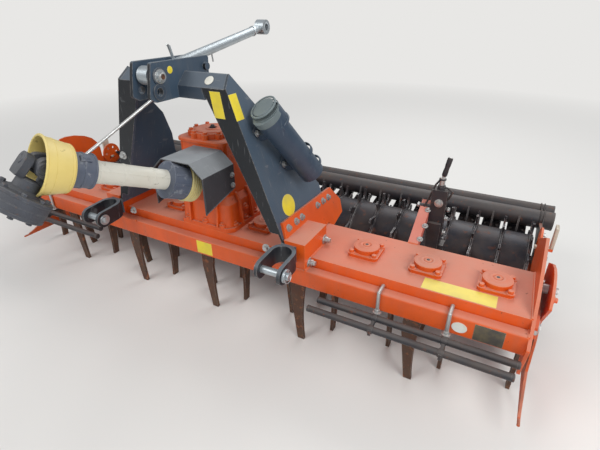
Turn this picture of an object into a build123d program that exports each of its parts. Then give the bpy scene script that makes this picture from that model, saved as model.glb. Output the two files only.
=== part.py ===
from build123d import *
import math
import os

# A 2.5 m power harrow with a toothed packer roller, in millimetres, +Z up, standing on its tines
# and its roller. The tractor side is -Y, the roller side +Y, and right is +X, seen from the tractor.
# While it is built, y = 0 is the line of the rotors. At the end the whole model moves along Y so
# that its origin is the middle of its footprint on the ground.

# Rotors and tines
rotor_count = 11
rotor_pitch = 230
tine_reach = 116
tine_thickness = 14
tine_width = 68
tine_foot_width = 30
holder_thickness = 28
holder_width = 72
holder_hub_radius = 52
rotor_shaft_radius = 25
shaft_fit = 0.3
shaft_seat_depth = 40

# Gear trough
trough_top = 428
trough_height = 112
trough_front = -133
trough_lip = -140
trough_lip_drop = 32
trough_rear = 145
trough_taper = 24
row_end_room = 114
trough_half_length = rotor_pitch * (rotor_count - 1) / 2 + row_end_room
bearing_boss_radius = 60
bearing_boss_height = 10
moving_gap = 6

# Rotor covers on the trough
cover_flange_side = 114
cover_flange_thickness = 12
cover_hub_radius = 48
cover_hub_height = 30
cover_cap_radius = 13
cover_cap_height = 3
cover_bolt_spacing = 88
cover_bolt_radius = 9
cover_bolt_height = 7
covered_by_feet = 2

# Front beam
beam_depth = 43
beam_height = 74
beam_corner = 7

# End plates
end_plate_thickness = 10

# Headstock arms, leaning inwards
arm_foot_x = 451
arm_foot_z = 430
arm_lean = 18.75
arm_plate = 10
arm_front_rake = 3.1
arm_front = -177
arm_bottom = 470
arm_flange_bottom = 522
arm_flange_foot_width = 46
arm_flange_top_width = 102
arm_shoulder = 1026
arm_head_rise = 40
arm_top = arm_shoulder + arm_head_rise
arm_shoulder_depth = 42
flange_head_gap = 0.6
cross_skirt = 40
cross_thickness = 14

# Feet of the headstock
foot_plate = 12
foot_top = 505
foot_rear = 0
foot_side = 519
foot_bolt_radius = 9
foot_bolt_length = 26
foot_bolts = (
    # y, z
    (-16, 446),
    (-146, 414),
)

# Top link bracket and top link
bracket_half_width = 45
bracket_plate = 12
link_pin_y = -289
link_pin_rise = 39
link_pin_z = arm_shoulder + link_pin_rise
second_hole_drop = 47
link_hole_radius = 12.7
link_pin_radius = 12.5
bracket_boss_radius = 26
bracket_boss_height = 5
link_rest_y = -59
rest_pin_radius = 13
link_length = 700
link_rise = 9.3
link_tube_radius = 18
link_rod_radius = 13
link_eye_radius = 30
link_eye_width = 44
link_rod_front = 100
link_rod_rear = 70
link_handle_at = 128

# Lower link clevises
lower_pin_y = -305
lower_pin_z = 447
lower_pin_radius = 14
lower_pin_centre = 452
clevis_gap = 76
clevis_ear = 14
clevis_radius = 35
clevis_rear_top = 491
clevis_rear_bottom = 423
clevis_seat = 26
lower_pin_overhang = 19

# Gearbox
gearbox_x = 10
gearbox_y = -12
base_length = 284
base_depth = 242
base_thickness = 20
lower_body_width = 256
lower_body_depth = 210
lower_body_top = 546
shoulder_top = 574
upper_body_width = 226
upper_body_depth = 184
upper_body_top = 804
gearbox_cover_radius = 100
gearbox_cover_height = 22
cover_lobes = 10
cover_lobe_radius = 14
shaft_offset = 40

# Drive shaft with its guard
shaft_joint_y = -235
shaft_joint_z = 681
shaft_yaw = 16.3
shaft_rise = 22.2
guard_tube_radius = 36
input_boss_radius = 52
input_boss_length = 10
input_shaft_radius = 24
inner_joint_radius = 40
cone_start = -22
cone_wall = 4
cone_radius = 69
collar_radius = 66
collar_cavity_radius = 48
inner_collar_start = 24
inner_collar_end = 94
tube_start = 50
outer_collar_start = 349
outer_collar_end = 417
outer_collar_radius = 54
bell_length = 82
bell_radius = 88
bell_back_radius = 73
bell_wall = 4
yoke_radius = 44
outer_joint_at = 492
fork_reach = 48
fork_width = 96
fork_thickness = 24
fork_depth = 62
cross_pin_radius = 15
clutch_radius = 87
clutch_length = 62
clutch_droop = 45
clutch_start = 87
clutch_neck_radius = 34
neck_room = 6
coupling_radius = 17.5
coupling_depth = 70

# Shield over the drive shaft's joint
shield_front = -285
shield_top = 778
shield_flat_half = 67
shield_half_width = 120
shield_shoulder = 731
shield_front_bottom = 590
shield_rear_bottom = 634
shield_flange = 40
shield_wall = 4

# Drive shaft support rod
support_rod_radius = 5
support_rod_top_y = -322
support_rod_top_drop = 26

# Guard bars under the front beam
guard_bar_radius = 12
guard_bars = (
    # y, z, inner and outer end, both in from the trough's end
    (-211, 309, 675, 4),
    (-252, 292, 697, 14),
)
u_bolt_radius = 6.5
u_bolts = (
    # side, distance in from the trough's end
    (1, 458),
    (1, 225),
    (-1, 289),
    (-1, 56),
)
hanger_plate = 10

# Document canister on the right arm
canister_radius = 47
canister_stand_off = 70
canister_top_y = -142
canister_top_z = 946
canister_bottom_y = 39
canister_bottom_z = 695
canister_lid_height = 22
canister_saddle = 60
lid_gap = 0.3

# Levelling bar behind the rotors, with its two guides
guide_x = 880
guide_width = 60
guide_depth = 40
guide_y = 285
guide_bottom = 340
guide_top = 540
guide_head_height = 70
strut_width = 40
strut_height = 44
strut_rise_z = 500
levelling_bar_y = 262
levelling_bar_thickness = 8
levelling_bar_bottom = 90
levelling_bar_height = 120
levelling_bar_inset = 30
hanger_width = 50
hanger_top = 470
guide_gap = 0.3
spindle_radius = 11
spindle_top = 660
handle_length = 84

# Packer roller
roller_y = 550
roller_radius = 210
drum_radius = 147
drum_inset = 6
ring_count = 23
ring_thickness = 8
ring_teeth = 12
ring_root = 12
roller_shaft_radius = 25
ring_stagger = 11

# Roller frame
arm_gap = 5
roller_arm_thickness = 12
pivot_y = -60
pivot_z = 352
pivot_pin_radius = 16
pivot_pin_head = 4
frame_tube_y = 760
frame_tube_z = 360
frame_tube_radius = 43
scraper_tube_y = 850
scraper_tube_z = 370
scraper_tube_radius = 30
tube_overhang = 45
bearing_radius = 55
bearing_length = 16
quadrant_y = 445
quadrant_z = 398
quadrant_radius = 62
quadrant_plate = 8
stop_pin_y = 322
stop_pin_radius = 10
arm_top_edge = 392
arm_rear_edge = 362
tab_y = 430
tab_width = 22
tab_reach = 38
tab_bottom = 372
tab_top = 478
tab_plate = 11
scraper_thickness = 8
scraper_width = 84
scraper_gap = 6

# Side deflectors
deflector_stand_off = 28
deflector_plate = 8
deflector_pivot_y = 47
deflector_pivot_z = 434
deflector_bolt_radius = 9
deflector_spacer_radius = 16

frame_nodes = {}


def corner_box(x0, x1, y0, y1, z0, z1):
    """A box given by its lowest and highest corners."""
    size = Box(x1 - x0, y1 - y0, z1 - z0, align=(Align.MIN, Align.MIN, Align.MIN))
    return Pos(x0, y0, z0) * size


def plate_along_x(outline, x0, thickness, corner=0):
    """A plate cut to an outline of (y, z) points, from x0 towards +X."""
    face = make_face(Polyline(*outline, close=True))
    if corner:
        face = fillet(face.vertices(), corner)
    return extrude(Plane.YZ.offset(x0) * face, amount=thickness)


def plate_along_y(outline, y0, thickness):
    """A plate cut to an outline of (x, z) points, from y0 towards +Y."""
    face = make_face(Polyline(*outline, close=True))
    return extrude(Plane.XZ.offset(-y0) * face, amount=-thickness)


def rod(start, end, radius):
    """A round bar from one point to another."""
    start = Vector(start)
    end = Vector(end)
    along = end - start
    bar = Cylinder(radius, along.length, align=(Align.CENTER, Align.CENTER, Align.MIN))
    return Plane(origin=start, z_dir=along) * bar


def ring_cylinder(plane, radius, bore, length):
    """A tube standing on a plane."""
    outer = Cylinder(radius, length, align=(Align.CENTER, Align.CENTER, Align.MIN))
    inner = Cylinder(bore, length, align=(Align.CENTER, Align.CENTER, Align.MIN))
    return plane * (outer - inner)


def both_sides(solid):
    """A solid and its mirror image across the machine's middle."""
    return [solid, mirror(solid, about=Plane.YZ)]


def add(name, *solids):
    """Keeps the solids of one node."""
    kept = []
    for entry in solids:
        kept.extend(entry if isinstance(entry, list) else [entry])
    frame_nodes[name] = kept


lean_radians = math.radians(arm_lean)
lean_slope = math.tan(lean_radians)


def lean_x(z, offset=0):
    """Where the leaning outer face of the right arm lies at a height."""
    return arm_foot_x - lean_slope * (z - arm_foot_z) + offset / math.cos(lean_radians)


def lean_plane(offset=0):
    """The arm's outer face as a plane: local x is +Y, local y climbs the face, z points outwards."""
    origin = (lean_x(arm_foot_z, offset), 0, arm_foot_z)
    outwards = (math.cos(lean_radians), 0, math.sin(lean_radians))
    return Plane(origin=origin, x_dir=(0, 1, 0), z_dir=outwards)


def lean_plate(outline, offset, thickness, corner=0):
    """A plate on the leaning face, cut to an outline of (y, z) points, thickness outwards."""
    local = [(y, (z - arm_foot_z) / math.cos(lean_radians)) for y, z in outline]
    face = make_face(Polyline(*local, close=True))
    if corner:
        face = fillet(face.vertices(), corner)
    return extrude(lean_plane(offset) * face, amount=thickness)


def inside_the_lean(offset, bottom, top, front, rear):
    """All that lies between the middle and the right arm's leaning face."""
    outline = [(0, bottom), (lean_x(bottom, offset), bottom), (lean_x(top, offset), top), (0, top)]
    return plate_along_y(outline, front, rear - front)


def front_y(z):
    """The front face of the arms at a height."""
    return arm_front - math.tan(math.radians(arm_front_rake)) * (z - arm_foot_z)


# Rotors
trough_bottom = trough_top - trough_height
boss_bottom = trough_bottom - bearing_boss_height
holder_top = boss_bottom - moving_gap
holder_bottom = holder_top - holder_thickness
rotor_places = [(index - (rotor_count - 1) / 2) * rotor_pitch for index in range(rotor_count)]


def make_rotor(x, turned):
    """A holder with two blade tines, on its shaft."""
    shaft_top = trough_bottom - bearing_boss_height + shaft_seat_depth
    solid = rod((0, 0, holder_top), (0, 0, shaft_top), rotor_shaft_radius)
    solid += rod((0, 0, holder_bottom - holder_thickness / 2), (0, 0, holder_top), holder_hub_radius)
    half = tine_reach
    wing = holder_width / 2
    solid += corner_box(-half, half, -wing, wing, holder_bottom, holder_top)
    edge = tine_width / 2
    foot = tine_foot_width
    for side in (1, -1):
        outline = Polyline(
            (side * edge, holder_top),
            (-side * edge, holder_top),
            (-side * edge, holder_bottom * 0.8),
            (-side * (edge - foot), 0),
            (-side * (edge - 2 * foot), 0),
        )
        trail = ThreePointArc(
            (-side * (edge - 2 * foot), 0),
            (side * (edge - foot / 2), holder_bottom * 0.45),
            (side * edge, holder_top),
        )
        blade = make_face(outline + trail)
        inner_face = half if side == 1 else -half - tine_thickness
        blade = extrude(Plane.YZ.offset(inner_face) * blade, amount=tine_thickness)
        solid += blade
    return Pos(x, 0, 0) * Rot(0, 0, 90 if turned else 0) * solid


for number, x in enumerate(rotor_places):
    add(f"rotor_{number + 1:02d}", make_rotor(x, number % 2 == 1))

# Gear trough, with a boss and a blind bore for each rotor
lip_z = trough_top - trough_lip_drop
trough_outline = [
    (trough_rear, trough_top),
    (trough_rear, trough_bottom + trough_taper),
    (trough_rear - trough_taper, trough_bottom),
    (trough_lip + trough_taper, trough_bottom),
    (trough_lip, trough_bottom + trough_taper),
    (trough_lip, lip_z),
    (trough_front, trough_top),
]
trough = plate_along_x(trough_outline, -trough_half_length, 2 * trough_half_length)
for x in rotor_places:
    trough += rod((x, 0, boss_bottom), (x, 0, trough_bottom + 1), bearing_boss_radius)
for x in rotor_places:
    bore_top = boss_bottom + shaft_seat_depth + moving_gap
    trough -= rod((x, 0, boss_bottom), (x, 0, bore_top), rotor_shaft_radius + shaft_fit)
add("trough", trough)

# Rotor covers
cover_solids = []
hidden_under = (0, covered_by_feet * rotor_pitch)
for x in [place for place in rotor_places if abs(place) not in hidden_under]:
    flange_top = trough_top + cover_flange_thickness
    side = cover_flange_side / 2
    cover = corner_box(x - side, x + side, -side, side, trough_top, flange_top)
    cover = chamfer(cover.edges().filter_by(Axis.Z), cover_flange_thickness)
    cover += rod((x, 0, trough_top), (x, 0, trough_top + cover_hub_height), cover_hub_radius)
    cap_top = trough_top + cover_hub_height + cover_cap_height
    cover += rod((x, 0, trough_top), (x, 0, cap_top), cover_cap_radius)
    for sx in (-1, 1):
        for sy in (-1, 1):
            bx = x + sx * cover_bolt_spacing / 2
            by = sy * cover_bolt_spacing / 2
            cover += rod((bx, by, trough_top), (bx, by, flange_top + cover_bolt_height), cover_bolt_radius)
    cover_solids.append(cover)
add("rotor_covers", cover_solids)

# Front beam
beam_front = trough_lip - beam_depth
beam_top = lip_z
beam_bottom = beam_top - beam_height
beam = corner_box(-trough_half_length, trough_half_length, beam_front, trough_lip, beam_bottom, beam_top)
beam = fillet(beam.edges().filter_by(Axis.X), beam_corner)
add("front_beam", beam)

# End plates: the same nose at the front, a straight fall behind on the right, a hump on the left
end_plate_front = [
    (-158, 224),
    (-209, 366),
    (-132, 427),
    (-81, 467),
    (2, 507),
    (52, 527),
    (96, 548),
]
end_plate_foot = [
    (365, 345),
    (250, 305),
    (-112, 305),
    (-118, 232),
]
right_rear = [
    (143, 570),
    (170, 558),
    (365, 455),
]
left_rear = [
    (120, 576),
    (157, 580),
    (215, 574),
    (279, 555),
    (322, 531),
    (350, 498),
    (365, 457),
]
right_outline = end_plate_front + right_rear + end_plate_foot
left_outline = end_plate_front + left_rear + end_plate_foot
end_plate_face = trough_half_length + end_plate_thickness
right_end = plate_along_x(right_outline, trough_half_length, end_plate_thickness, corner=6)
left_end = plate_along_x(left_outline, -end_plate_face, end_plate_thickness, corner=6)
add("end_plates", right_end, left_end)

# Headstock arms: a side plate with a flange folded inwards along the front
arm_outline = [
    (front_y(arm_bottom), arm_bottom),
    (front_y(arm_shoulder), arm_shoulder),
    (front_y(arm_shoulder) + arm_shoulder_depth, arm_top),
    (-73, 945),
    (30, 850),
    (102, 735),
    (138, 640),
    (180, 587),
    (176, arm_bottom),
]
arm = lean_plate(arm_outline, -arm_plate, arm_plate)
rake = math.radians(arm_front_rake)
flange_plane = Plane(
    origin=(0, front_y(arm_foot_z), arm_foot_z), x_dir=(1, 0, 0), z_dir=(0, -math.cos(rake), -math.sin(rake))
)


def flange_point(x, z):
    """A point of the front flange, measured along its raked face."""
    return (x, (z - arm_foot_z) / math.cos(rake))


flange_outline = [
    flange_point(lean_x(arm_flange_bottom, -1), arm_flange_bottom),
    flange_point(lean_x(arm_shoulder, -1), arm_shoulder - flange_head_gap),
    flange_point(lean_x(arm_shoulder) - arm_flange_top_width, arm_shoulder - flange_head_gap),
    flange_point(lean_x(arm_flange_bottom) - arm_flange_foot_width, arm_flange_bottom),
]
arm += extrude(flange_plane * make_face(Polyline(*flange_outline, close=True)), amount=-arm_plate)
add("headstock_arms", both_sides(arm))

# Cross member between the arms' heads: a slanted plate over a skirt between the flanges
shoulder_y = front_y(arm_shoulder)
cross_bottom = arm_shoulder - cross_skirt
cross_section = [
    (shoulder_y, arm_shoulder),
    (shoulder_y + arm_shoulder_depth, arm_top),
    (shoulder_y + arm_shoulder_depth + cross_thickness, arm_top),
    (shoulder_y + cross_thickness, arm_shoulder),
]
cross = plate_along_x(cross_section, -arm_foot_x, 2 * arm_foot_x)
low_x = lean_x(cross_bottom, -arm_plate)
high_x = lean_x(arm_top + arm_plate, -arm_plate)
room_top = arm_top + arm_plate
room = [(-low_x, cross_bottom), (low_x, cross_bottom), (high_x, room_top), (-high_x, room_top)]
cross = cross & plate_along_y(room, shoulder_y - arm_plate, arm_shoulder_depth + 4 * cross_thickness)
flange_edge = lean_x(arm_shoulder) - arm_flange_top_width - 1
skirt_drop = cross_skirt * lean_slope * 0.8
skirt = [
    (-flange_edge, arm_shoulder),
    (flange_edge, arm_shoulder),
    (flange_edge + skirt_drop, cross_bottom),
    (-flange_edge - skirt_drop, cross_bottom),
]
cross += plate_along_y(skirt, shoulder_y, arm_plate)
add("headstock_cross", cross)

# Feet: a box on the trough and the beam, with an upright plate that the arm is bolted to
foot_plate_outline = [
    (-172, trough_top),
    (-171, 502),
    (-163, 560),
    (240, 550),
    (302, 474),
    (290, 420),
    (trough_rear + 40, 400),
    (trough_rear + 8, 400),
    (trough_rear + 8, trough_top),
]
foot = lean_plate(foot_plate_outline, 0, foot_plate)
foot_section = [
    (beam_front, beam_top),
    (beam_front, foot_top),
    (foot_rear, foot_top),
    (foot_rear, trough_top),
    (trough_front, trough_top),
    (trough_lip, lip_z),
]
foot_inner = lean_x(foot_top, foot_plate / 2)
foot_box = plate_along_x(foot_section, foot_inner, foot_side - foot_inner)
foot_box -= inside_the_lean(foot_plate / 2, beam_top - 10, foot_top + 10, beam_front - 10, foot_rear + 10)
foot += foot_box
for bolt_y, bolt_z in foot_bolts:
    bolt_end = (foot_side + foot_bolt_length, bolt_y, bolt_z)
    foot += rod((foot_side - 1, bolt_y, bolt_z), bolt_end, foot_bolt_radius)
add("headstock_feet", both_sides(foot))

# Top link bracket
bracket_inner = bracket_half_width - bracket_plate
second_hole_z = link_pin_z - second_hole_drop
second_hole_y = link_pin_y - 8
bracket_rises = (
    # y, height above the arms' shoulder
    (-315, 83),
    (-36, 80),
    (-42, 11),
    (-120, -2),
    (shoulder_y, -cross_skirt),
    (-314, -cross_skirt),
    (-339, -24),
    (-327, 34),
)
bracket_outline = [(y, arm_shoulder + rise) for y, rise in bracket_rises]
bracket = plate_along_x(bracket_outline, bracket_inner, bracket_plate, corner=10)
for hole_y, hole_z in ((link_pin_y, link_pin_z), (second_hole_y, second_hole_z)):
    boss_plane = Plane(origin=(bracket_half_width, hole_y, hole_z), x_dir=(0, 1, 0), z_dir=(1, 0, 0))
    bracket += ring_cylinder(boss_plane, bracket_boss_radius, link_hole_radius, bracket_boss_height)
    hole_end = (bracket_half_width + 1, hole_y, hole_z)
    bracket -= rod((bracket_inner - 1, hole_y, hole_z), hole_end, link_hole_radius)
bracket -= cross
link_angle = math.radians(link_rise)


def link_point(distance, across=0):
    """A point along the top link's line, with an optional step square to it."""
    y = link_pin_y + distance * math.cos(link_angle) - across * math.sin(link_angle)
    z = link_pin_z + distance * math.sin(link_angle) + across * math.cos(link_angle)
    return (0, y, z)


rest_line_z = link_pin_z + (link_rest_y - link_pin_y) * math.tan(link_angle)
rest_pin_z = rest_line_z - (link_tube_radius + rest_pin_radius + 0.3) / math.cos(link_angle)
rest_pin_reach = bracket_half_width + 12
rest_pin_end = (rest_pin_reach, link_rest_y, rest_pin_z)
rest_pin = rod((-rest_pin_reach, link_rest_y, rest_pin_z), rest_pin_end, rest_pin_radius)
bracket_pair = both_sides(bracket)
add("top_link_bracket", bracket_pair[0] + bracket_pair[1] + rest_pin)
link_pin_reach = bracket_half_width + bracket_boss_height
link_pin_end = link_pin_reach + 14
link_pin = rod((-link_pin_end, link_pin_y, link_pin_z), (link_pin_end, link_pin_y, link_pin_z), link_pin_radius)
collar_start = (link_pin_reach + 1, link_pin_y, link_pin_z)
collar_end = (link_pin_reach + 10, link_pin_y, link_pin_z)
link_pin += rod(collar_start, collar_end, link_pin_radius + 6)
add("top_link_pin", link_pin)


def link_eye(distance):
    """A ball eye of the top link, bored along X."""
    x, y, z = link_point(distance)
    eye = rod((-link_eye_width / 2, y, z), (link_eye_width / 2, y, z), link_eye_radius)
    return eye, rod((-link_eye_width, y, z), (link_eye_width, y, z), link_pin_radius + shaft_fit)


front_eye, front_bore = link_eye(0)
rear_eye, rear_bore = link_eye(link_length)
top_link = front_eye + rear_eye
top_link += rod(link_point(link_eye_radius / 2), link_point(link_rod_front + 10), link_rod_radius)
link_rear = link_length - link_rod_rear
top_link += rod(link_point(link_rear - 10), link_point(link_length - link_eye_radius / 2), link_rod_radius)
top_link += rod(link_point(link_rod_front), link_point(link_rear), link_tube_radius)
top_link += rod(link_point(link_handle_at, 5), link_point(link_handle_at - 6, 62), 5)
top_link -= front_bore + rear_bore
add("top_link", top_link)

# Lower link clevises and their pins
clevis_inner = lower_pin_centre - clevis_gap / 2 - clevis_ear
clevis_outer = lower_pin_centre + clevis_gap / 2 + clevis_ear
clevis_half = clevis_gap / 2 + clevis_ear
clevis_bend_y = beam_front - clevis_half
strap_side = make_face(
    Polyline(
        (lower_pin_y, lower_pin_z - clevis_radius),
        (beam_front, clevis_rear_bottom),
        (beam_front, clevis_rear_top),
        (lower_pin_y, lower_pin_z + clevis_radius),
    )
    + ThreePointArc(
        (lower_pin_y, lower_pin_z + clevis_radius),
        (lower_pin_y - clevis_radius, lower_pin_z),
        (lower_pin_y, lower_pin_z - clevis_radius),
    )
)


def strap_block(half, front):
    """A block with a round rear end, as wide as the strap or as its gap."""
    low = lower_pin_z - 2 * clevis_radius
    high = clevis_rear_top + clevis_radius
    block = corner_box(lower_pin_centre - half, lower_pin_centre + half, front, clevis_bend_y, low, high)
    return block + rod((lower_pin_centre, clevis_bend_y, low), (lower_pin_centre, clevis_bend_y, high), half)


strap_front = lower_pin_y - clevis_radius
clevis = strap_block(clevis_half, strap_front - 1)
seat_low = lower_pin_centre - clevis_seat
seat_high = lower_pin_centre + clevis_seat
clevis += corner_box(
    seat_low, seat_high, beam_front - clevis_ear, beam_front, clevis_rear_bottom, clevis_rear_top
)
clevis -= strap_block(clevis_gap / 2, strap_front - 2)
clevis = clevis & extrude(Plane.YZ.offset(clevis_inner) * strap_side, amount=clevis_outer - clevis_inner)
bore_start = (clevis_inner - 1, lower_pin_y, lower_pin_z)
bore_end = (clevis_outer + 1, lower_pin_y, lower_pin_z)
clevis -= rod(bore_start, bore_end, lower_pin_radius + shaft_fit)
add("clevises", both_sides(clevis))
pin_start = (clevis_inner - 12, lower_pin_y, lower_pin_z)
pin_end = (clevis_outer + lower_pin_overhang, lower_pin_y, lower_pin_z)
pin = rod(pin_start, pin_end, lower_pin_radius)
pin += rod(bore_end, (clevis_outer + 7, lower_pin_y, lower_pin_z), lower_pin_radius + 8)
add("lower_link_pins", both_sides(pin))

# Gearbox
base_top = trough_top + base_thickness
base_corner_x = gearbox_x - base_length / 2
base_corner_y = gearbox_y - base_depth / 2
base = corner_box(
    base_corner_x, base_corner_x + base_length, base_corner_y, base_corner_y + base_depth, trough_top, base_top
)
base = chamfer(base.edges().filter_by(Axis.Z), 26)
lower_plane = Plane.XY.offset(base_top) * Pos(gearbox_x, gearbox_y)
middle_plane = Plane.XY.offset(lower_body_top) * Pos(gearbox_x, gearbox_y)
upper_plane = Plane.XY.offset(shoulder_top) * Pos(gearbox_x, gearbox_y)
lower_sketch = lower_plane * RectangleRounded(base_length - 20, base_depth - 20, 30)
middle_sketch = middle_plane * RectangleRounded(lower_body_width, lower_body_depth, 30)
upper_sketch = upper_plane * RectangleRounded(upper_body_width, upper_body_depth, 30)
lower_body = loft(Sketch() + [lower_sketch, middle_sketch])
shoulder_body = loft(Sketch() + [middle_sketch, upper_sketch])
upper_body = extrude(upper_sketch, amount=upper_body_top - shoulder_top)
gearbox = base + lower_body + shoulder_body + upper_body
gearbox_front = gearbox_y - upper_body_depth / 2
boss_x = gearbox_x + shaft_offset
boss_face = (boss_x, gearbox_front - input_boss_length, shaft_joint_z)
gearbox += rod((boss_x, gearbox_front + 20, shaft_joint_z), boss_face, input_boss_radius)
cover_top = upper_body_top + gearbox_cover_height
lobe_circle = gearbox_cover_radius - cover_lobe_radius
gearbox += rod((gearbox_x, gearbox_y, upper_body_top - 1), (gearbox_x, gearbox_y, cover_top), lobe_circle)
for lobe in range(cover_lobes):
    angle = math.radians(360 * lobe / cover_lobes)
    lobe_x = gearbox_x + lobe_circle * math.cos(angle)
    lobe_y = gearbox_y + lobe_circle * math.sin(angle)
    gearbox += rod((lobe_x, lobe_y, upper_body_top - 1), (lobe_x, lobe_y, cover_top - 4), cover_lobe_radius)
add("gearbox", gearbox)

# Drive shaft: a joint at the gearbox, then the guarded tube, rising towards the tractor
shaft_x = boss_x
yaw = math.radians(shaft_yaw)
rise = math.radians(shaft_rise)
shaft_along = Vector(-math.sin(yaw) * math.cos(rise), -math.cos(yaw) * math.cos(rise), math.sin(rise))
shaft_joint = Vector(shaft_x, shaft_joint_y, shaft_joint_z)


def shaft_point(distance):
    """A point on the drive shaft's line."""
    return shaft_joint + shaft_along * distance


def shaft_plane(distance):
    """A plane square to the drive shaft, its z towards the tractor, its x level."""
    level = Vector(math.cos(yaw), -math.sin(yaw), 0)
    return Plane(origin=shaft_point(distance), x_dir=level, z_dir=shaft_along)


joint_face = (shaft_x, gearbox_front - input_boss_length, shaft_joint_z)
inner_joint = rod(joint_face, shaft_joint, input_shaft_radius)
inner_joint += Pos(*shaft_joint) * Sphere(inner_joint_radius)
inner_joint += rod(shaft_joint, shaft_point(tube_start), input_shaft_radius)
add("drive_inner_joint", inner_joint)
add("drive_guard_tube", rod(shaft_point(tube_start), shaft_point(outer_collar_end), guard_tube_radius))
inner_collar = rod(shaft_point(inner_collar_start), shaft_point(inner_collar_end), collar_radius)
inner_collar -= rod(shaft_point(inner_collar_start), shaft_point(tube_start), collar_cavity_radius)
inner_collar -= rod(shaft_point(tube_start), shaft_point(inner_collar_end), guard_tube_radius)
outer_collar = rod(shaft_point(outer_collar_start), shaft_point(outer_collar_end), outer_collar_radius)
outer_collar -= rod(shaft_point(outer_collar_start), shaft_point(outer_collar_end), guard_tube_radius)
add("drive_guard_collars", inner_collar, outer_collar)
middle_up = (Align.CENTER, Align.CENTER, Align.MIN)
cone = rod(shaft_point(cone_start), shaft_point(inner_collar_start), cone_radius)
cone -= rod(shaft_point(cone_start), shaft_point(inner_collar_start), cone_radius - cone_wall - 4)
bell = shaft_plane(outer_collar_end) * Cone(bell_back_radius, bell_radius, bell_length, align=middle_up)
hollow = Cone(bell_back_radius - bell_wall, bell_radius - bell_wall, bell_length, align=middle_up)
hollow = shaft_plane(outer_collar_end + bell_wall) * hollow

# Outer yokes and the clutch that hangs down from the joint
yoke_start = outer_collar_end + bell_wall
yoke = rod(shaft_point(yoke_start), shaft_point(outer_joint_at - fork_reach), yoke_radius)
fork_side = (fork_width - fork_thickness) / 2


def fork_ears(plane, turned):
    """Two ears that reach back past the joint's centre, where the plane stands."""
    ears = []
    for side in (1, -1):
        ear = Box(fork_thickness, fork_depth, fork_reach + cross_pin_radius + 6, align=middle_up)
        ears.append(plane * Rot(0, 0, turned) * Pos(side * fork_side, 0, -fork_reach - 2) * ear)
    return ears


yoke += fork_ears(shaft_plane(outer_joint_at), 0)
cross_length = fork_width - 2 * fork_thickness
yoke += shaft_plane(outer_joint_at) * Rot(0, 90, 0) * Cylinder(cross_pin_radius, cross_length + 2)
add("drive_outer_yoke", yoke)
joint_centre = shaft_point(outer_joint_at)
droop = math.radians(clutch_droop)
clutch_along = Vector(-math.sin(yaw) * math.cos(droop), -math.cos(yaw) * math.cos(droop), -math.sin(droop))
level = Vector(math.cos(yaw), -math.sin(yaw), 0)
clutch_plane = Plane(origin=joint_centre, x_dir=level, z_dir=clutch_along)
clutch_base = joint_centre + clutch_along * clutch_start
clutch_end = clutch_base + clutch_along * clutch_length
bell -= hollow
bell -= rod(joint_centre, clutch_base, clutch_neck_radius + neck_room)
add("drive_guard_bells", cone, bell)
clutch = rod(clutch_base, clutch_end, clutch_radius)
clutch += rod(joint_centre + clutch_along * fork_reach, clutch_base, clutch_neck_radius)
clutch += fork_ears(Plane(origin=joint_centre, x_dir=level, z_dir=-clutch_along), 90)
clutch += clutch_plane * Rot(90, 0, 0) * Cylinder(cross_pin_radius, cross_length + 2)
clutch -= yoke
clutch -= rod(clutch_end - clutch_along * coupling_depth, clutch_end + clutch_along, coupling_radius)
add("drive_clutch", clutch)

# Shield over the inner joint: a folded sheet, open below and at both ends
shield_outline = [
    (shield_half_width, shield_front_bottom),
    (shield_half_width, shield_shoulder),
    (shield_flat_half, shield_top),
    (-shield_flat_half, shield_top),
    (-shield_half_width, shield_shoulder),
    (-shield_half_width, shield_front_bottom),
]
outline = [(shaft_x + px, pz) for px, pz in shield_outline]
inner_outline = [
    (shield_half_width - shield_wall, shield_front_bottom - 1),
    (shield_half_width - shield_wall, shield_shoulder - 2),
    (shield_flat_half - 1, shield_top - shield_wall),
    (1 - shield_flat_half, shield_top - shield_wall),
    (shield_wall - shield_half_width, shield_shoulder - 2),
    (shield_wall - shield_half_width, shield_front_bottom - 1),
]
inner = [(shaft_x + px, pz) for px, pz in inner_outline]
shield_rear = gearbox_front
shield_length = shield_rear - shield_front
shield = plate_along_y(outline, shield_front, shield_length)
shield -= plate_along_y(inner, shield_front - 1, shield_length + 2)
slant = [
    (shield_front - 1, shield_front_bottom - 60),
    (shield_rear + 1, shield_front_bottom - 60),
    (shield_rear + 1, shield_rear_bottom),
    (shield_front - 1, shield_front_bottom),
]
shield -= plate_along_x(slant, shaft_x - shield_half_width - 1, 2 * shield_half_width + 2)
flange_low = shield_shoulder - shield_flange
shield_left = shaft_x - shield_half_width
shield_right = shaft_x + shield_half_width
flange_front = shield_rear - shield_wall
shield += corner_box(shield_left, shield_right, flange_front, shield_rear, flange_low, shield_shoulder)
hole_start = (shaft_x, flange_front - 1, shaft_joint_z)
shield -= rod(hole_start, (shaft_x, shield_rear + 1, shaft_joint_z), input_boss_radius + 1)
add("drive_shield", shield)

# Rod that carries the drive shaft from the headstock
hook = shaft_point((outer_collar_start + outer_collar_end) / 2)
hook_top = (hook.X, hook.Y, hook.Z + outer_collar_radius / 2)
rod_top = (bracket_inner + bracket_plate / 2, support_rod_top_y, arm_shoulder - support_rod_top_drop)
support_rod = rod(hook_top, rod_top, support_rod_radius) - bracket
support_rod -= rod(shaft_point(outer_collar_start), shaft_point(outer_collar_end), outer_collar_radius)
add("drive_support_rod", support_rod)

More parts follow.
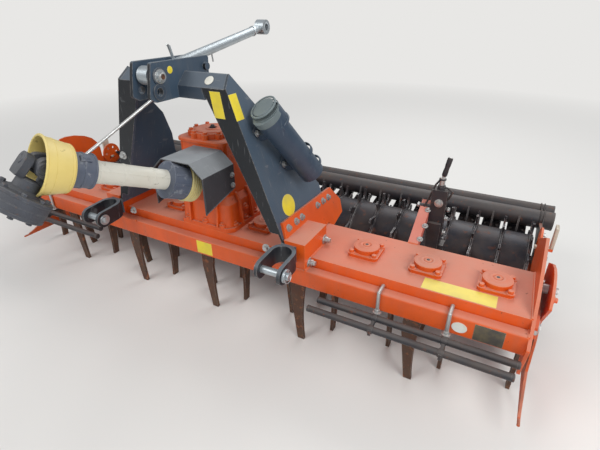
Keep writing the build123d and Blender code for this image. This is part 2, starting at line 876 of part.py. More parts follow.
# Guard bars below the front beam, hung by clamps on the beam's U-bolts
guard_sides = []
low_y = guard_bars[1][0] - guard_bar_radius - 4
low_z = guard_bars[1][1]
hanger_outline = [
    (trough_lip - 8, beam_bottom),
    (trough_lip - 8, beam_bottom - 8),
    (low_y, low_z - guard_bar_radius - 4),
    (low_y, low_z + guard_bar_radius / 2),
    (beam_front, beam_bottom),
]
bolts = []
for side in (1, -1):
    bars = []
    for bar_y, bar_z, inner_inset, outer_inset in guard_bars:
        inner_end = (side * (trough_half_length - inner_inset), bar_y, bar_z)
        outer_end = (side * (trough_half_length - outer_inset), bar_y, bar_z)
        bars.append(rod(inner_end, outer_end, guard_bar_radius))
    for bolt_side, inset in u_bolts:
        if bolt_side == side:
            x = side * (trough_half_length - inset)
            bars.append(plate_along_x(hanger_outline, x - hanger_plate / 2, hanger_plate))
            elbow = (x, beam_front - u_bolt_radius, beam_top + u_bolt_radius)
            leg = rod((x, beam_front - u_bolt_radius, beam_bottom), elbow, u_bolt_radius)
            bend = Pos(*elbow) * Sphere(u_bolt_radius)
            over = rod(elbow, (x, trough_lip - 1, beam_top + u_bolt_radius), u_bolt_radius)
            bolts.append(leg + bend + over)
    guard_sides.append(bars[0].fuse(*bars[1:]))
add("guard_bars", guard_sides)
add("beam_u_bolts", bolts)

# Document canister on the right arm, with a hinged lid
canister_plane = lean_plane(canister_stand_off)


def on_canister_plane(y, z):
    """A point on the canister's plane."""
    return canister_plane.from_local_coords((y, (z - arm_foot_z) / math.cos(lean_radians), 0))


canister_low = on_canister_plane(canister_bottom_y, canister_bottom_z)
canister_high = on_canister_plane(canister_top_y, canister_top_z)
canister_up = (canister_high - canister_low).normalized()
body_top = canister_high - canister_up * canister_lid_height
canister = rod(canister_low, body_top, canister_radius)
outwards = lean_plane().z_dir
saddle_length = canister_stand_off - canister_radius / 2
for share in (0.24, 0.78):
    at = canister_low + (canister_high - canister_low) * share
    saddle = Plane(origin=at - outwards * canister_stand_off, x_dir=canister_up, z_dir=outwards)
    canister += saddle * Box(24, canister_saddle, saddle_length, align=middle_up)
add("canister", canister)
lid_base = body_top + canister_up * lid_gap
lid = rod(lid_base, canister_high, canister_radius + 3)
add("canister_lid", lid)

# Levelling bar, its struts, guides and spindles
strut_front = trough_rear
strut_x = guide_x - guide_width / 2 - strut_width
strut_outline = [
    (strut_front, trough_top - strut_height - 6),
    (strut_front, trough_top),
    (guide_y + guide_depth, strut_rise_z + strut_height),
    (guide_y + guide_depth, strut_rise_z),
]
strut = plate_along_x(strut_outline, strut_x, strut_width)
add("levelling_struts", both_sides(strut))
guide_left = guide_x - guide_width / 2
guide_right = guide_x + guide_width / 2
guide_rear = guide_y + guide_depth
spindle_base = guide_top + guide_head_height
guide = corner_box(guide_left, guide_right, guide_y, guide_rear, guide_bottom, spindle_base)
guide += corner_box(guide_left, guide_right + 16, guide_y, guide_rear + 12, guide_bottom, guide_bottom + 28)
pin_z = guide_top - 14
guide += rod((strut_x - 12, guide_y + 20, pin_z), (guide_right + 14, guide_y + 20, pin_z), 9)
guide -= strut
add("levelling_guides", both_sides(guide))
spindle_y = guide_y + guide_depth / 2
spindle = rod((guide_x, spindle_y, spindle_base), (guide_x, spindle_y, spindle_top), spindle_radius)
spindle += rod((guide_x, spindle_y, spindle_top - 8), (guide_x + 16, spindle_y, spindle_top + handle_length), 7)
add("levelling_spindles", both_sides(spindle))
levelling_bar_half_length = trough_half_length - levelling_bar_inset
bar_front = levelling_bar_y
bar_rear = levelling_bar_y + levelling_bar_thickness
bar_end = levelling_bar_half_length
bar_top = levelling_bar_bottom + levelling_bar_height
levelling = corner_box(-bar_end, bar_end, bar_front, bar_rear, levelling_bar_bottom, bar_top)
for side in (1, -1):
    cx = side * guide_x
    hanger_rear = guide_y - guide_gap
    hanger_left = cx - hanger_width / 2
    hanger_low = levelling_bar_bottom + 20
    levelling += corner_box(
        hanger_left, hanger_left + hanger_width, bar_rear - 1, hanger_rear, hanger_low, hanger_top
    )
add("levelling_bar", levelling)

# Packer roller: a drum with toothed rings
roller_z = roller_radius


def tooth_ring(turn):
    """A ring's outline: teeth with a steep face behind and a long curved one ahead."""
    points = []
    root = drum_radius + ring_root
    tooth_height = roller_radius - root
    step = 360 / ring_teeth
    table = (
        # share of the step, radius
        (0.00, root),
        (0.24, root),
        (0.44, root + tooth_height * 0.35),
        (0.60, root + tooth_height * 0.80),
        (0.68, roller_radius),
        (0.84, roller_radius),
        (0.79, root + tooth_height * 0.66),
        (0.76, root + tooth_height * 0.30),
        (0.80, root),
    )
    for tooth in range(ring_teeth):
        for share, radius in table:
            angle = math.radians(turn + (tooth + share) * step)
            points.append((radius * math.cos(angle), radius * math.sin(angle)))
    return make_face(Polyline(*points, close=True))


drum_half_length = trough_half_length - drum_inset
ring_pitch = 2 * (drum_half_length - ring_thickness) / (ring_count - 1)
drum = rod((-drum_half_length, roller_y, roller_z), (drum_half_length, roller_y, roller_z), drum_radius)
rings = []
for index in range(ring_count):
    centre = (index - (ring_count - 1) / 2) * ring_pitch
    place = Plane(origin=(centre - ring_thickness / 2, roller_y, roller_z), x_dir=(0, 1, 0), z_dir=(1, 0, 0))
    rings.append(extrude(place * tooth_ring(index * ring_stagger), amount=ring_thickness))
drum = drum.fuse(*rings)
arm_inner = end_plate_face + arm_gap
arm_outer = arm_inner + roller_arm_thickness
drum += rod((-arm_outer + 2, roller_y, roller_z), (arm_outer - 2, roller_y, roller_z), roller_shaft_radius)
add("packer_roller", drum)

# Roller frame: two arms hinged low on the end plates, two cross tubes and the scrapers
roller_arm_outline = [
    (pivot_y - 36, pivot_z - 22),
    (pivot_y - 36, pivot_z + 22),
    (pivot_y - 14, arm_top_edge),
    (560, arm_top_edge),
    (700, arm_rear_edge),
    (890, arm_rear_edge),
    (884, 335),
    (800, 300),
    (640, 268),
    (612, 176),
    (580, 150),
    (520, 150),
    (488, 176),
    (470, 300),
    (380, 334),
    (pivot_y - 14, 318),
]
roller_arm = plate_along_x(roller_arm_outline, arm_inner, roller_arm_thickness)
bearing_plane = Plane(origin=(arm_inner - bearing_length, roller_y, roller_z), x_dir=(0, 1, 0), z_dir=(1, 0, 0))
roller_arm += ring_cylinder(bearing_plane, bearing_radius, roller_shaft_radius + shaft_fit, bearing_length)
for bore_y, bore_z, bore in (
    (roller_y, roller_z, roller_shaft_radius + shaft_fit),
    (pivot_y, pivot_z, pivot_pin_radius + shaft_fit),
):
    roller_arm -= rod((arm_inner - 1, bore_y, bore_z), (arm_outer + 1, bore_y, bore_z), bore)
tubes = (
    # y, z, radius
    (frame_tube_y, frame_tube_z, frame_tube_radius),
    (scraper_tube_y, scraper_tube_z, scraper_tube_radius),
)
for tube_y, tube_z, tube_radius in tubes:
    roller_arm -= rod((arm_inner - 1, tube_y, tube_z), (arm_outer + 1, tube_y, tube_z), tube_radius)
quadrant_base = (arm_inner - quadrant_plate, quadrant_y, quadrant_z)
quadrant_plane = Plane(origin=quadrant_base, x_dir=(0, 1, 0), z_dir=(1, 0, 0))
quadrant = quadrant_plane * Cylinder(quadrant_radius, quadrant_plate, align=middle_up)
for step in range(6):
    angle = math.radians(60 * step)
    hole_y = quadrant_y + 38 * math.cos(angle)
    hole_z = quadrant_z + 38 * math.sin(angle)
    quadrant -= rod((arm_inner - quadrant_plate - 1, hole_y, hole_z), (arm_inner, hole_y, hole_z), 8)
roller_arm += quadrant
tab_outer = arm_outer + tab_reach
tab_rear = tab_y + tab_width
roller_arm += corner_box(arm_outer - 1, tab_outer, tab_y, tab_rear, tab_bottom, tab_bottom + tab_plate)
roller_arm += corner_box(tab_outer - tab_plate, tab_outer, tab_y, tab_rear + tab_width, tab_bottom, tab_top)
add("roller_arms", both_sides(roller_arm))
tube_end = arm_outer + tube_overhang
frame_tube_end = (tube_end, frame_tube_y, frame_tube_z)
frame_tube = rod((-tube_end, frame_tube_y, frame_tube_z), frame_tube_end, frame_tube_radius)
add("roller_frame_tube", frame_tube)
scraper_tube_end = (tube_end, scraper_tube_y, scraper_tube_z)
scraper_tube = rod((-tube_end, scraper_tube_y, scraper_tube_z), scraper_tube_end, scraper_tube_radius)
add("scraper_tube", scraper_tube)
tip_angle = math.radians(25)
tip_y = roller_y + (drum_radius + scraper_gap) * math.cos(tip_angle)
tip_z = roller_z + (drum_radius + scraper_gap) * math.sin(tip_angle)
scraper_outline = [
    (tip_y, tip_z),
    (scraper_tube_y - 50, tip_z + 14),
    (scraper_tube_y + 10, scraper_tube_z - scraper_tube_radius + 1),
    (scraper_tube_y - 12, scraper_tube_z - scraper_tube_radius + 4),
    (scraper_tube_y - 58, tip_z + 14 + scraper_thickness + 3),
    (tip_y + 4, tip_z + scraper_thickness),
]
scrapers = []
for index in range(ring_count - 1):
    centre = (index - (ring_count - 2) / 2) * ring_pitch
    blade = plate_along_x(scraper_outline, centre - scraper_width / 2, scraper_width) - scraper_tube
    scrapers.append(blade)
add("scrapers", scrapers)

# Pivot pins, stop pins and side deflectors
pivot_pin = rod((end_plate_face, pivot_y, pivot_z), (arm_outer + 3, pivot_y, pivot_z), pivot_pin_radius)
head_start = (arm_outer + 1, pivot_y, pivot_z)
head_end = (arm_outer + 1 + pivot_pin_head, pivot_y, pivot_z)
pivot_pin += rod(head_start, head_end, pivot_pin_radius + 8)
add("roller_pivot_pins", both_sides(pivot_pin))
stop_pin_z = arm_top_edge + stop_pin_radius + 0.3
deflector_x = end_plate_face + deflector_stand_off
stop_pin = rod((end_plate_face, stop_pin_y, stop_pin_z), (deflector_x, stop_pin_y, stop_pin_z), stop_pin_radius)
add("depth_stop_pins", both_sides(stop_pin))
deflector_outline = [
    (-89, 447),
    (-60, 478),
    (-23, 499),
    (20, 508),
    (65, 506),
    (120, 490),
    (172, 463),
    (221, 438),
    (226, 300),
    (226, 84),
    (-228, 80),
    (-170, 98),
    (-51, 152),
    (-20, 262),
    (4, 296),
    (14, 322),
]
deflector = plate_along_x(deflector_outline, deflector_x, deflector_plate, corner=5)
deflector -= rod(
    (deflector_x - 1, deflector_pivot_y, deflector_pivot_z),
    (deflector_x + deflector_plate + 1, deflector_pivot_y, deflector_pivot_z),
    deflector_bolt_radius + shaft_fit,
)
add("deflector_right", deflector)
add("deflector_left", mirror(deflector, about=Plane.YZ))
bolt = rod(
    (end_plate_face, deflector_pivot_y, deflector_pivot_z),
    (deflector_x + deflector_plate + 10, deflector_pivot_y, deflector_pivot_z),
    deflector_bolt_radius,
)
spacer_start = (end_plate_face, deflector_pivot_y, deflector_pivot_z)
spacer_end = (deflector_x - 0.3, deflector_pivot_y, deflector_pivot_z)
bolt += rod(spacer_start, spacer_end, deflector_spacer_radius)
bolt += rod(
    (deflector_x + deflector_plate + 0.3, deflector_pivot_y, deflector_pivot_z),
    (deflector_x + deflector_plate + 9, deflector_pivot_y, deflector_pivot_z),
    deflector_spacer_radius - 1,
)
add("deflector_bolts", both_sides(bolt))

# Move everything so that the origin is the middle of the footprint, and write the nodes
boxes = [solid.bounding_box() for entry in frame_nodes.values() for solid in entry]
front_end = min(box.min.Y for box in boxes)
rear_end = max(box.max.Y for box in boxes)
shift_y = -(front_end + rear_end) / 2

if __name__ == "__main__":
    os.makedirs("parts", exist_ok=True)
    for name, solids in frame_nodes.items():
        moved = [Pos(0, shift_y, 0) * solid for solid in solids]
        shape = moved[0] if len(moved) == 1 else Compound(moved)
        export_step(shape, f"parts/{name}.step")
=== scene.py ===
import math

import bmesh
import bpy
from bpy.props import FloatProperty, FloatVectorProperty, IntProperty, PointerProperty
from mathutils import Matrix, Vector


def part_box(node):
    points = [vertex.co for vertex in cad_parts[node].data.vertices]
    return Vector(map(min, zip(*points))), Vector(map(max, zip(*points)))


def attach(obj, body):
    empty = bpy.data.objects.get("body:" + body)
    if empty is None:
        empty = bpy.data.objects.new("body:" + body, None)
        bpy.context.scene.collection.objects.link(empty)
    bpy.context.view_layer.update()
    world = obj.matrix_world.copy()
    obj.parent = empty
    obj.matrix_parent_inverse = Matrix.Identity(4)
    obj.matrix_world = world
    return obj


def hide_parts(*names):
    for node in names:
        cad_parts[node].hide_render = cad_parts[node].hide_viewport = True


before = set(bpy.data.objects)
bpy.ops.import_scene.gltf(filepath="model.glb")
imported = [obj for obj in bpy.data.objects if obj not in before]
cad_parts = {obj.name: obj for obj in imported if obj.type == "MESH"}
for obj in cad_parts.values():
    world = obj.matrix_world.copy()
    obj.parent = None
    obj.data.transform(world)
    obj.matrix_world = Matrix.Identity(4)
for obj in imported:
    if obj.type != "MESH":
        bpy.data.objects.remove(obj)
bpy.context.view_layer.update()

bl_info = {
    "name": "Power harrow finish",
    "version": (1, 0, 0),
    "blender": (4, 5, 0),
    "location": "3D View > Sidebar > Harrow",
    "description": "Paint, wear, fasteners and fittings for a 2.5 m power harrow",
    "category": "Object",
}

MM = 0.001

# Places that the drawing and this file share, in millimetres
TROUGH_REAR = 145
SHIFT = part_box("trough")[1].y - TROUGH_REAR * MM
TROUGH_TOP = 428
TROUGH_HALF = 1264
BEAM_FRONT = -183
ROTOR_COUNT = 11
ROTOR_PITCH = 230
ROTORS = [f"rotor_{number:02d}" for number in range(1, ROTOR_COUNT + 1)]
COVERS = [ROTOR_PITCH * step for step in (-5, -4, -3, -1, 1, 3, 4, 5)]
ARM_FOOT_X = 451
ARM_FOOT_Z = 430
ARM_LEAN = math.radians(18.75)
ARM_RAKE = math.radians(3.1)
GEARBOX_X, GEARBOX_Y, GEARBOX_FOOT = 10, -12, 446
SHAFT_JOINT = Vector((50, -235, 681))
SHAFT_YAW = math.radians(16.3)
SHAFT_RISE = math.radians(22.2)
CLUTCH_START = 492
CLUTCH_DROOP = math.radians(45)
LINK_EYE = Vector((0, -289, 1065))
LINK_RISE = math.radians(9.3)
LINK_LENGTH = 700
LOWER_PIN = (-305, 447)
GUIDE_X, GUIDE_Y = 880, 305
ROLLER_Y, ROLLER_Z = 550, 210
ROLLER_HALF = 1258
RING_COUNT = 23
RING_PITCH = 2 * (ROLLER_HALF - 8) / (RING_COUNT - 1)

# The camera as worked out from the photograph: place, angles, focal length in pixels
CAMERA_PLACE = (1107.9, -1300.6, 1267.7)
CAMERA_YAW, CAMERA_PITCH, CAMERA_ROLL = 0.4978, 0.4924, -0.0084
CAMERA_FOCAL, PICTURE_WIDTH, SENSOR_WIDTH = 412.37, 600, 36

# Lamps: name, place, diameter, share of the set power
LAMPS = (
    ("key_lamp", (-2.2, -3.4, 4.2), 3.0, 1.0),
    ("fill_lamp", (3.6, -1.6, 3.0), 2.6, 1.0),
    ("back_lamp", (0.4, 3.6, 3.6), 3.0, 0.8),
)
LAMP_AIM = Vector((0, 0, 0.4))
SKY_COLOUR, SKY_STRENGTH = (0.92, 0.95, 1.0), 0.42
FLOOR_RADIUS, FADE_START, FADE_END = 60, 1.8, 6.5

# Edges flatter than this are shaded smooth
SMOOTH_LIMIT = math.radians(35)

# Bolts: washer and head as shares of the width across flats, the washer's height in millimetres
WASHER_SHARE, WASHER_HEIGHT = 0.92, 2.5
HEAD_SHARE, CHAMFER_SHARE = 0.6, 0.07


def srgb(red, green, blue):
    """A colour given as it reads on a screen, 0 to 255, as Blender's linear numbers."""
    shares = [value / 255 for value in (red, green, blue)]
    return tuple(s / 12.92 if s <= 0.04045 else ((s + 0.055) / 1.055) ** 2.4 for s in shares)


PALE = srgb(232, 231, 229)


# Places and directions

def spot(x, y, z):
    """A point of the drawing, in millimetres, as metres in the row frame."""
    return Vector((x * MM, y * MM + SHIFT, z * MM))


def facing(point, outwards, spin=0.0):
    """A place whose local z looks outwards, turned by spin about it."""
    turn = Vector(outwards).to_track_quat("Z", "Y").to_matrix().to_4x4()
    return Matrix.Translation(point) @ turn @ Matrix.Rotation(spin, 4, "Z")


def sideways(side, x, y, z, spin=0.0, way=1):
    """A place on the right (1) or the left (-1) that looks outwards, or with a way of -1 inwards."""
    return facing(spot(side * x, y, z), (side * way, 0, 0), spin)


def upwards(x, y, z, spin=0.0):
    """A place that looks up."""
    return facing(spot(x, y, z), (0, 0, 1), spin)


def forwards(x, y, z, spin=0.0):
    """A place that looks at the tractor."""
    return facing(spot(x, y, z), (0, -1, 0), spin)


def framed(point, across, outwards):
    """A place with local x along across and local z outwards."""
    z = Vector(outwards).normalized()
    x = (Vector(across) - Vector(across).dot(z) * z).normalized()
    turn = Matrix((x, z.cross(x), z)).transposed().to_4x4()
    return Matrix.Translation(point) @ turn


def level(x, y, z):
    """A place that looks up, with local x to the right."""
    return framed(spot(x, y, z), (1, 0, 0), (0, 0, 1))


def upright(x):
    """A place for a side view: local x runs rearwards, y climbs, z looks right."""
    return framed(spot(x, 0, 0), (0, 1, 0), (1, 0, 0))


def raised(place, height):
    """A place moved along its own z."""
    return place @ Matrix.Translation((0, 0, height * MM))


def around(place, angle, radius, height=0):
    """A place moved off its own z: turned by an angle, then out by a radius."""
    return place @ Matrix.Rotation(angle, 4, "Z") @ Matrix.Translation((radius * MM, 0, height * MM))


def flipped(place):
    """A place that looks the other way."""
    return place @ Matrix.Rotation(math.pi, 4, "X")


def angles(count, start=0.0):
    """Even angles round a circle, from a share of their step."""
    return [math.tau * (index + start) / count for index in range(count)]


ARM_OUT = Vector((math.cos(ARM_LEAN), 0, math.sin(ARM_LEAN)))


def arm_place(y, z, out=0.0, side=1):
    """A place on the outer face of a headstock arm: x runs rearwards, y climbs, z looks outwards."""
    x = ARM_FOOT_X - math.tan(ARM_LEAN) * (z - ARM_FOOT_Z)
    normal = Vector((side * ARM_OUT.x, 0, ARM_OUT.z))
    return framed(spot(side * x, y, z) + normal * out * MM, (0, 1, 0), normal)


def shaft_way(rise):
    """The way towards the tractor along the drive shaft, at a rise."""
    level_share = math.cos(rise)
    return Vector((-math.sin(SHAFT_YAW) * level_share, -math.cos(SHAFT_YAW) * level_share, math.sin(rise)))


SHAFT_ALONG = shaft_way(SHAFT_RISE)
SHAFT_LEVEL = Vector((math.cos(SHAFT_YAW), -math.sin(SHAFT_YAW), 0))
CLUTCH_JOINT = SHAFT_JOINT + SHAFT_ALONG * CLUTCH_START
CLUTCH_ALONG = shaft_way(-CLUTCH_DROOP)
CANISTER_LOW = arm_place(39, 695, 70).translation
CANISTER_HIGH = arm_place(-142, 946, 70).translation


def shaft_place(distance):
    """A place on the drive shaft's line, z towards the tractor, x level."""
    return framed(spot(*(SHAFT_JOINT + SHAFT_ALONG * distance)), SHAFT_LEVEL, SHAFT_ALONG)


def clutch_place(distance):
    """A place on the drooping clutch's line, z towards its free end."""
    return framed(spot(*(CLUTCH_JOINT + CLUTCH_ALONG * distance)), SHAFT_LEVEL, CLUTCH_ALONG)


def link_place(distance, across=0.0):
    """A place on the top link's line, z towards its far eye."""
    along = Vector((0, math.cos(LINK_RISE), math.sin(LINK_RISE)))
    up = Vector((0, -math.sin(LINK_RISE), math.cos(LINK_RISE)))
    return framed(spot(*(LINK_EYE + along * distance + up * across)), (1, 0, 0), along)


def canister_place(distance):
    """A place on the document canister's line, z towards its lid, x away from the arm."""
    along = (CANISTER_HIGH - CANISTER_LOW).normalized()
    return framed(CANISTER_LOW + along * distance * MM, ARM_OUT, along)


def arc_points(place, radius, start, end, steps):
    """Points on an arc in a place's own plane."""
    found = []
    for index in range(steps + 1):
        angle = start + (end - start) * index / steps
        found.append(place @ Vector((radius * math.cos(angle) * MM, radius * math.sin(angle) * MM, 0)))
    return found


# Outlines

def rounded(x, y, half_x, half_y, corner):
    """A rectangle with round corners about (x, y)."""
    found = []
    for sx, sy, start in ((1, 1, 0), (-1, 1, 1), (-1, -1, 2), (1, -1, 3)):
        for step in range(7):
            angle = (start + step / 6) * math.pi / 2
            px = x + sx * (half_x - corner) + corner * math.cos(angle)
            py = y + sy * (half_y - corner) + corner * math.sin(angle)
            found.append((px, py))
    return found


def rectangle(low_x, low_y, high_x, high_y):
    """A plain rectangle between two corners."""
    return ((low_x, low_y), (high_x, low_y), (high_x, high_y), (low_x, high_y))


def crowned(inner, shoulder, crown, half):
    """The section of a ring whose rim rises to a crown."""
    return ((inner, -half), (shoulder, -half), (crown, 0), (shoulder, half), (inner, half), (inner, -half))


def banded(inner, shoulder, rim, half, flat):
    """The section of a ring with a flat rim and eased edges."""
    low = ((inner, -half), (shoulder, -half), (rim, -flat))
    return (*low, (rim, flat), (shoulder, half), (inner, half), (inner, -half))


# Shapes

def blanks(count):
    """Empty meshes to fill."""
    return [bmesh.new() for _ in range(count)]


def ease_edges(bm, edges, amount, segments=2):
    """Rounds edges by an amount in millimetres."""
    bmesh.ops.bevel(
        bm, geom=list(edges), offset=amount * MM, offset_type="OFFSET", segments=segments,
        profile=0.5, affect="EDGES", clamp_overlap=True, material=-1,
    )


def puck(bm, place, radius, height, sides=24, ease=0.0):
    """A round or many-sided block standing on a place, its far rim eased."""
    middle = raised(place, height / 2)
    made = bmesh.ops.create_cone(
        bm, cap_ends=True, segments=sides, radius1=radius * MM, radius2=radius * MM,
        depth=height * MM, matrix=middle,
    )
    if ease:
        inverse = place.inverted()
        high = [v for v in made["verts"] if (inverse @ v.co).z > height * MM * 0.98]
        rim = {e for v in high for e in v.link_edges if e.other_vert(v) in high}
        ease_edges(bm, rim, ease)


def slab(bm, place, size, ease):
    """A block with its middle on a place, given its three sizes."""
    scale = Matrix.Diagonal((size[0] * MM, size[1] * MM, size[2] * MM, 1))
    made = bmesh.ops.create_cube(bm, size=1, matrix=place @ scale)
    ease_edges(bm, {e for v in made["verts"] for e in v.link_edges}, ease)


def turned(bm, place, profile, steps=32):
    """A turned piece: a profile of (radius, height) points spun about a place's z."""
    points = [bm.verts.new(place @ Vector((radius * MM, 0, height * MM))) for radius, height in profile]
    edges = [bm.edges.new(pair) for pair in zip(points, points[1:])]
    axis = place.to_3x3() @ Vector((0, 0, 1))
    centre = place.translation
    bmesh.ops.spin(
        bm, geom=points + edges, cent=centre, axis=axis, angle=math.tau, steps=steps, use_merge=True
    )
    bmesh.ops.remove_doubles(bm, verts=list(bm.verts), dist=1e-6)


def cut_plate(bm, place, outline, thickness, ease=0.0):
    """A plate cut to an outline of local (x, y) points, growing along the place's z."""
    points = [bm.verts.new(place @ Vector((x * MM, y * MM, 0))) for x, y in outline]
    grown = bmesh.ops.extrude_face_region(bm, geom=[bm.faces.new(points)])
    moved = [v for v in grown["geom"] if isinstance(v, bmesh.types.BMVert)]
    bmesh.ops.translate(bm, verts=moved, vec=place.to_3x3() @ Vector((0, 0, thickness * MM)))
    if ease:
        rim = {e for v in moved for e in v.link_edges if e.other_vert(v) in moved}
        ease_edges(bm, rim, ease, 1)


def start_rod(bm, point, along, radius, sides):
    """The first ring of edges of a rod."""
    made = bmesh.ops.create_circle(bm, segments=sides, radius=radius * MM, matrix=facing(point, along))
    return list({e for v in made["verts"] for e in v.link_edges})


def grow_rod(bm, edges):
    """A new ring on a rod: its vertices and its edges."""
    grown = bmesh.ops.extrude_edge_only(bm, edges=edges)["geom"]
    verts = [v for v in grown if isinstance(v, bmesh.types.BMVert)]
    kept = set(verts)
    return verts, [e for e in grown if isinstance(e, bmesh.types.BMEdge) and kept.issuperset(e.verts)]


def close_rod(bm, first, last):
    """The two end faces of a rod."""
    for ring in (first, last):
        bmesh.ops.contextual_create(bm, geom=ring)


def bent_rod(bm, points, radius, sides=10):
    """A round wire that follows points, mitred at each of them."""
    places = [Vector(p) for p in points]
    runs = [(b - a).normalized() for a, b in zip(places, places[1:])]
    first = edges = start_rod(bm, places[0], runs[0], radius, sides)
    for index, along in enumerate(runs):
        following = runs[index + 1] if index + 1 < len(runs) else along
        meet = (along + following).normalized()
        verts, edges = grow_rod(bm, edges)
        for v in verts:
            v.co += along * ((places[index + 1] - v.co).dot(meet) / along.dot(meet))
    close_rod(bm, first, edges)


def hex_bolt(bm, place, across=18, washer=True):
    """A hexagon head or nut, on its washer if it has one."""
    if washer:
        puck(bm, place, across * WASHER_SHARE, WASHER_HEIGHT, 24, 0.6)
        place = raised(place, WASHER_HEIGHT)
    corner_radius = across / 2 / math.cos(math.pi / 6)
    puck(bm, place, corner_radius, across * HEAD_SHARE, 6, across * CHAMFER_SHARE)


def make_piece(name, bm, finish, body="machine"):
    """Turns a bmesh into a finished piece on its body."""
    bmesh.ops.recalc_face_normals(bm, faces=bm.faces)
    for face in bm.faces:
        face.smooth = True
    for edge in bm.edges:
        edge.smooth = edge.calc_face_angle(0.0) < SMOOTH_LIMIT
    mesh = bpy.data.meshes.new(name)
    bm.to_mesh(mesh)
    bm.free()
    made = bpy.data.objects.new(name, mesh)
    bpy.context.scene.collection.objects.link(made)
    mesh.materials.append(bpy.data.materials[finish])
    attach(made, body)
    return made


# Shader node groups

def put(tree, kind, inputs=None, **settings):
    """Adds a shader node, sets its values and joins the sockets handed over."""
    made = tree.nodes.new("ShaderNode" + kind)
    for key, value in settings.items():
        setattr(made, key, value)
    for key, value in (inputs or {}).items():
        if isinstance(value, bpy.types.NodeSocket):
            tree.links.new(value, made.inputs[key])
        else:
            made.inputs[key].default_value = value
    return made


def effect_group(name, **inputs):
    """An empty node group with float inputs and one mask or height going out."""
    tree = bpy.data.node_groups.new(name, "ShaderNodeTree")
    for label, value in inputs.items():
        socket = tree.interface.new_socket(label, in_out="INPUT", socket_type="NodeSocketFloat")
        socket.default_value = value
    tree.interface.new_socket("Mask", in_out="OUTPUT", socket_type="NodeSocketFloat")
    enter = tree.nodes.new("NodeGroupInput")
    leave = tree.nodes.new("NodeGroupOutput")
    return tree, enter.outputs, leave.inputs["Mask"]


def surface(tree, kind="Object"):
    """Object coordinates, or the object's own normals."""
    return put(tree, "TexCoord").outputs[kind]


def part_of(tree, vector, axis):
    """One of a vector's three parts."""
    return put(tree, "SeparateXYZ", {0: vector}).outputs[axis]


def clouds(tree, place, scale, detail=4.0, rough=0.55):
    """A noise that follows the surface, 0 to 1."""
    inputs = {"Vector": place, "Scale": scale, "Detail": detail, "Roughness": rough}
    return put(tree, "TexNoise", inputs).outputs["Fac"]


def span(tree, value, low, high, to_low=0.0, to_high=1.0):
    """Stretches a value between two limits."""
    inputs = {"Value": value, "From Min": low, "From Max": high, "To Min": to_low, "To Max": to_high}
    return put(tree, "MapRange", inputs).outputs["Result"]


def maths(tree, operation, a, b=0.0, clamp=False):
    """A value worked out from one or two others."""
    return put(tree, "Math", {0: a, 1: b}, operation=operation, use_clamp=clamp).outputs[0]


def times(tree, a, b):
    """The product of two values, kept within 0 and 1."""
    return maths(tree, "MULTIPLY", a, b, True)


def build_facing():
    """The faces that look at the tractor: the mask for painted shade on them."""
    tree, enter, leave = effect_group("Facing the tractor", Amount=0.8)
    along = part_of(tree, surface(tree, "Normal"), "Y")
    tree.links.new(times(tree, span(tree, along, -0.55, -0.8), enter["Amount"]), leave)


def build_behind():
    """The part of a piece that lies behind a line, towards the roller's rear."""
    tree, enter, leave = effect_group("Behind", Start=0.5, Fade=0.01)
    place = surface(tree)
    ragged = span(tree, clouds(tree, place, 30.0), 0.3, 0.7, -0.006, 0.006)
    moved = maths(tree, "ADD", part_of(tree, place, "Y"), ragged)
    past = maths(tree, "SUBTRACT", moved, enter["Start"])
    tree.links.new(maths(tree, "DIVIDE", past, enter["Fade"], True), leave)


def build_edge_wear():
    """Paint or coating rubbed off along edges and corners."""
    tree, enter, leave = effect_group("Edge wear", Width=0.004, Amount=0.7, Scale=45.0)
    round_off = put(tree, "Bevel", {"Radius": enter["Width"]}, samples=6).outputs["Normal"]
    flat = put(tree, "NewGeometry").outputs["Normal"]
    same = put(tree, "VectorMath", {0: round_off, 1: flat}, operation="DOT_PRODUCT").outputs["Value"]
    broken = span(tree, clouds(tree, surface(tree), enter["Scale"], 6.0, 0.7), 0.38, 0.62)
    worn = times(tree, span(tree, same, 0.995, 0.9), broken)
    tree.links.new(times(tree, worn, enter["Amount"]), leave)


def build_dust():
    """Dust that settles on what looks up, thin where it was touched."""
    tree, enter, leave = effect_group("Settled dust", Amount=0.6, Scale=6.0, Steepness=0.35)
    lying = span(tree, part_of(tree, surface(tree, "Normal"), "Z"), enter["Steepness"], 1.0)
    broad = span(tree, clouds(tree, surface(tree), enter["Scale"], 5.0, 0.6), 0.25, 0.7, 0.45, 1.0)
    tree.links.new(times(tree, times(tree, lying, broad), enter["Amount"]), leave)


def build_patches(name, detail, **inputs):
    """Patches where a noise lies between two limits."""
    tree, enter, leave = effect_group(name, **inputs)
    cloud = clouds(tree, surface(tree), enter["Scale"], detail, 0.6)
    tree.links.new(times(tree, span(tree, cloud, enter["Low"], enter["High"]), enter["Amount"]), leave)


def build_blotches():
    """Broad uneven patches."""
    build_patches("Blotches", 6.0, Amount=0.3, Scale=8.0, Low=0.4, High=0.7)


def build_chips():
    """Small chips and specks."""
    build_patches("Chips", 3.0, Amount=0.8, Scale=70.0, Low=0.66, High=0.7)


def build_streaks():
    """Marks that ran down what stands upright."""
    tree, enter, leave = effect_group("Run marks", Amount=0.3, Scale=30.0)
    drawn = put(tree, "Mapping", {"Vector": surface(tree), "Scale": (1.0, 1.0, 0.07)}).outputs["Vector"]
    cloud = span(tree, clouds(tree, drawn, enter["Scale"], 5.0, 0.65), 0.5, 0.72)
    steep = maths(tree, "ABSOLUTE", part_of(tree, surface(tree, "Normal"), "Z"))
    tree.links.new(times(tree, times(tree, cloud, span(tree, steep, 0.75, 0.3)), enter["Amount"]), leave)


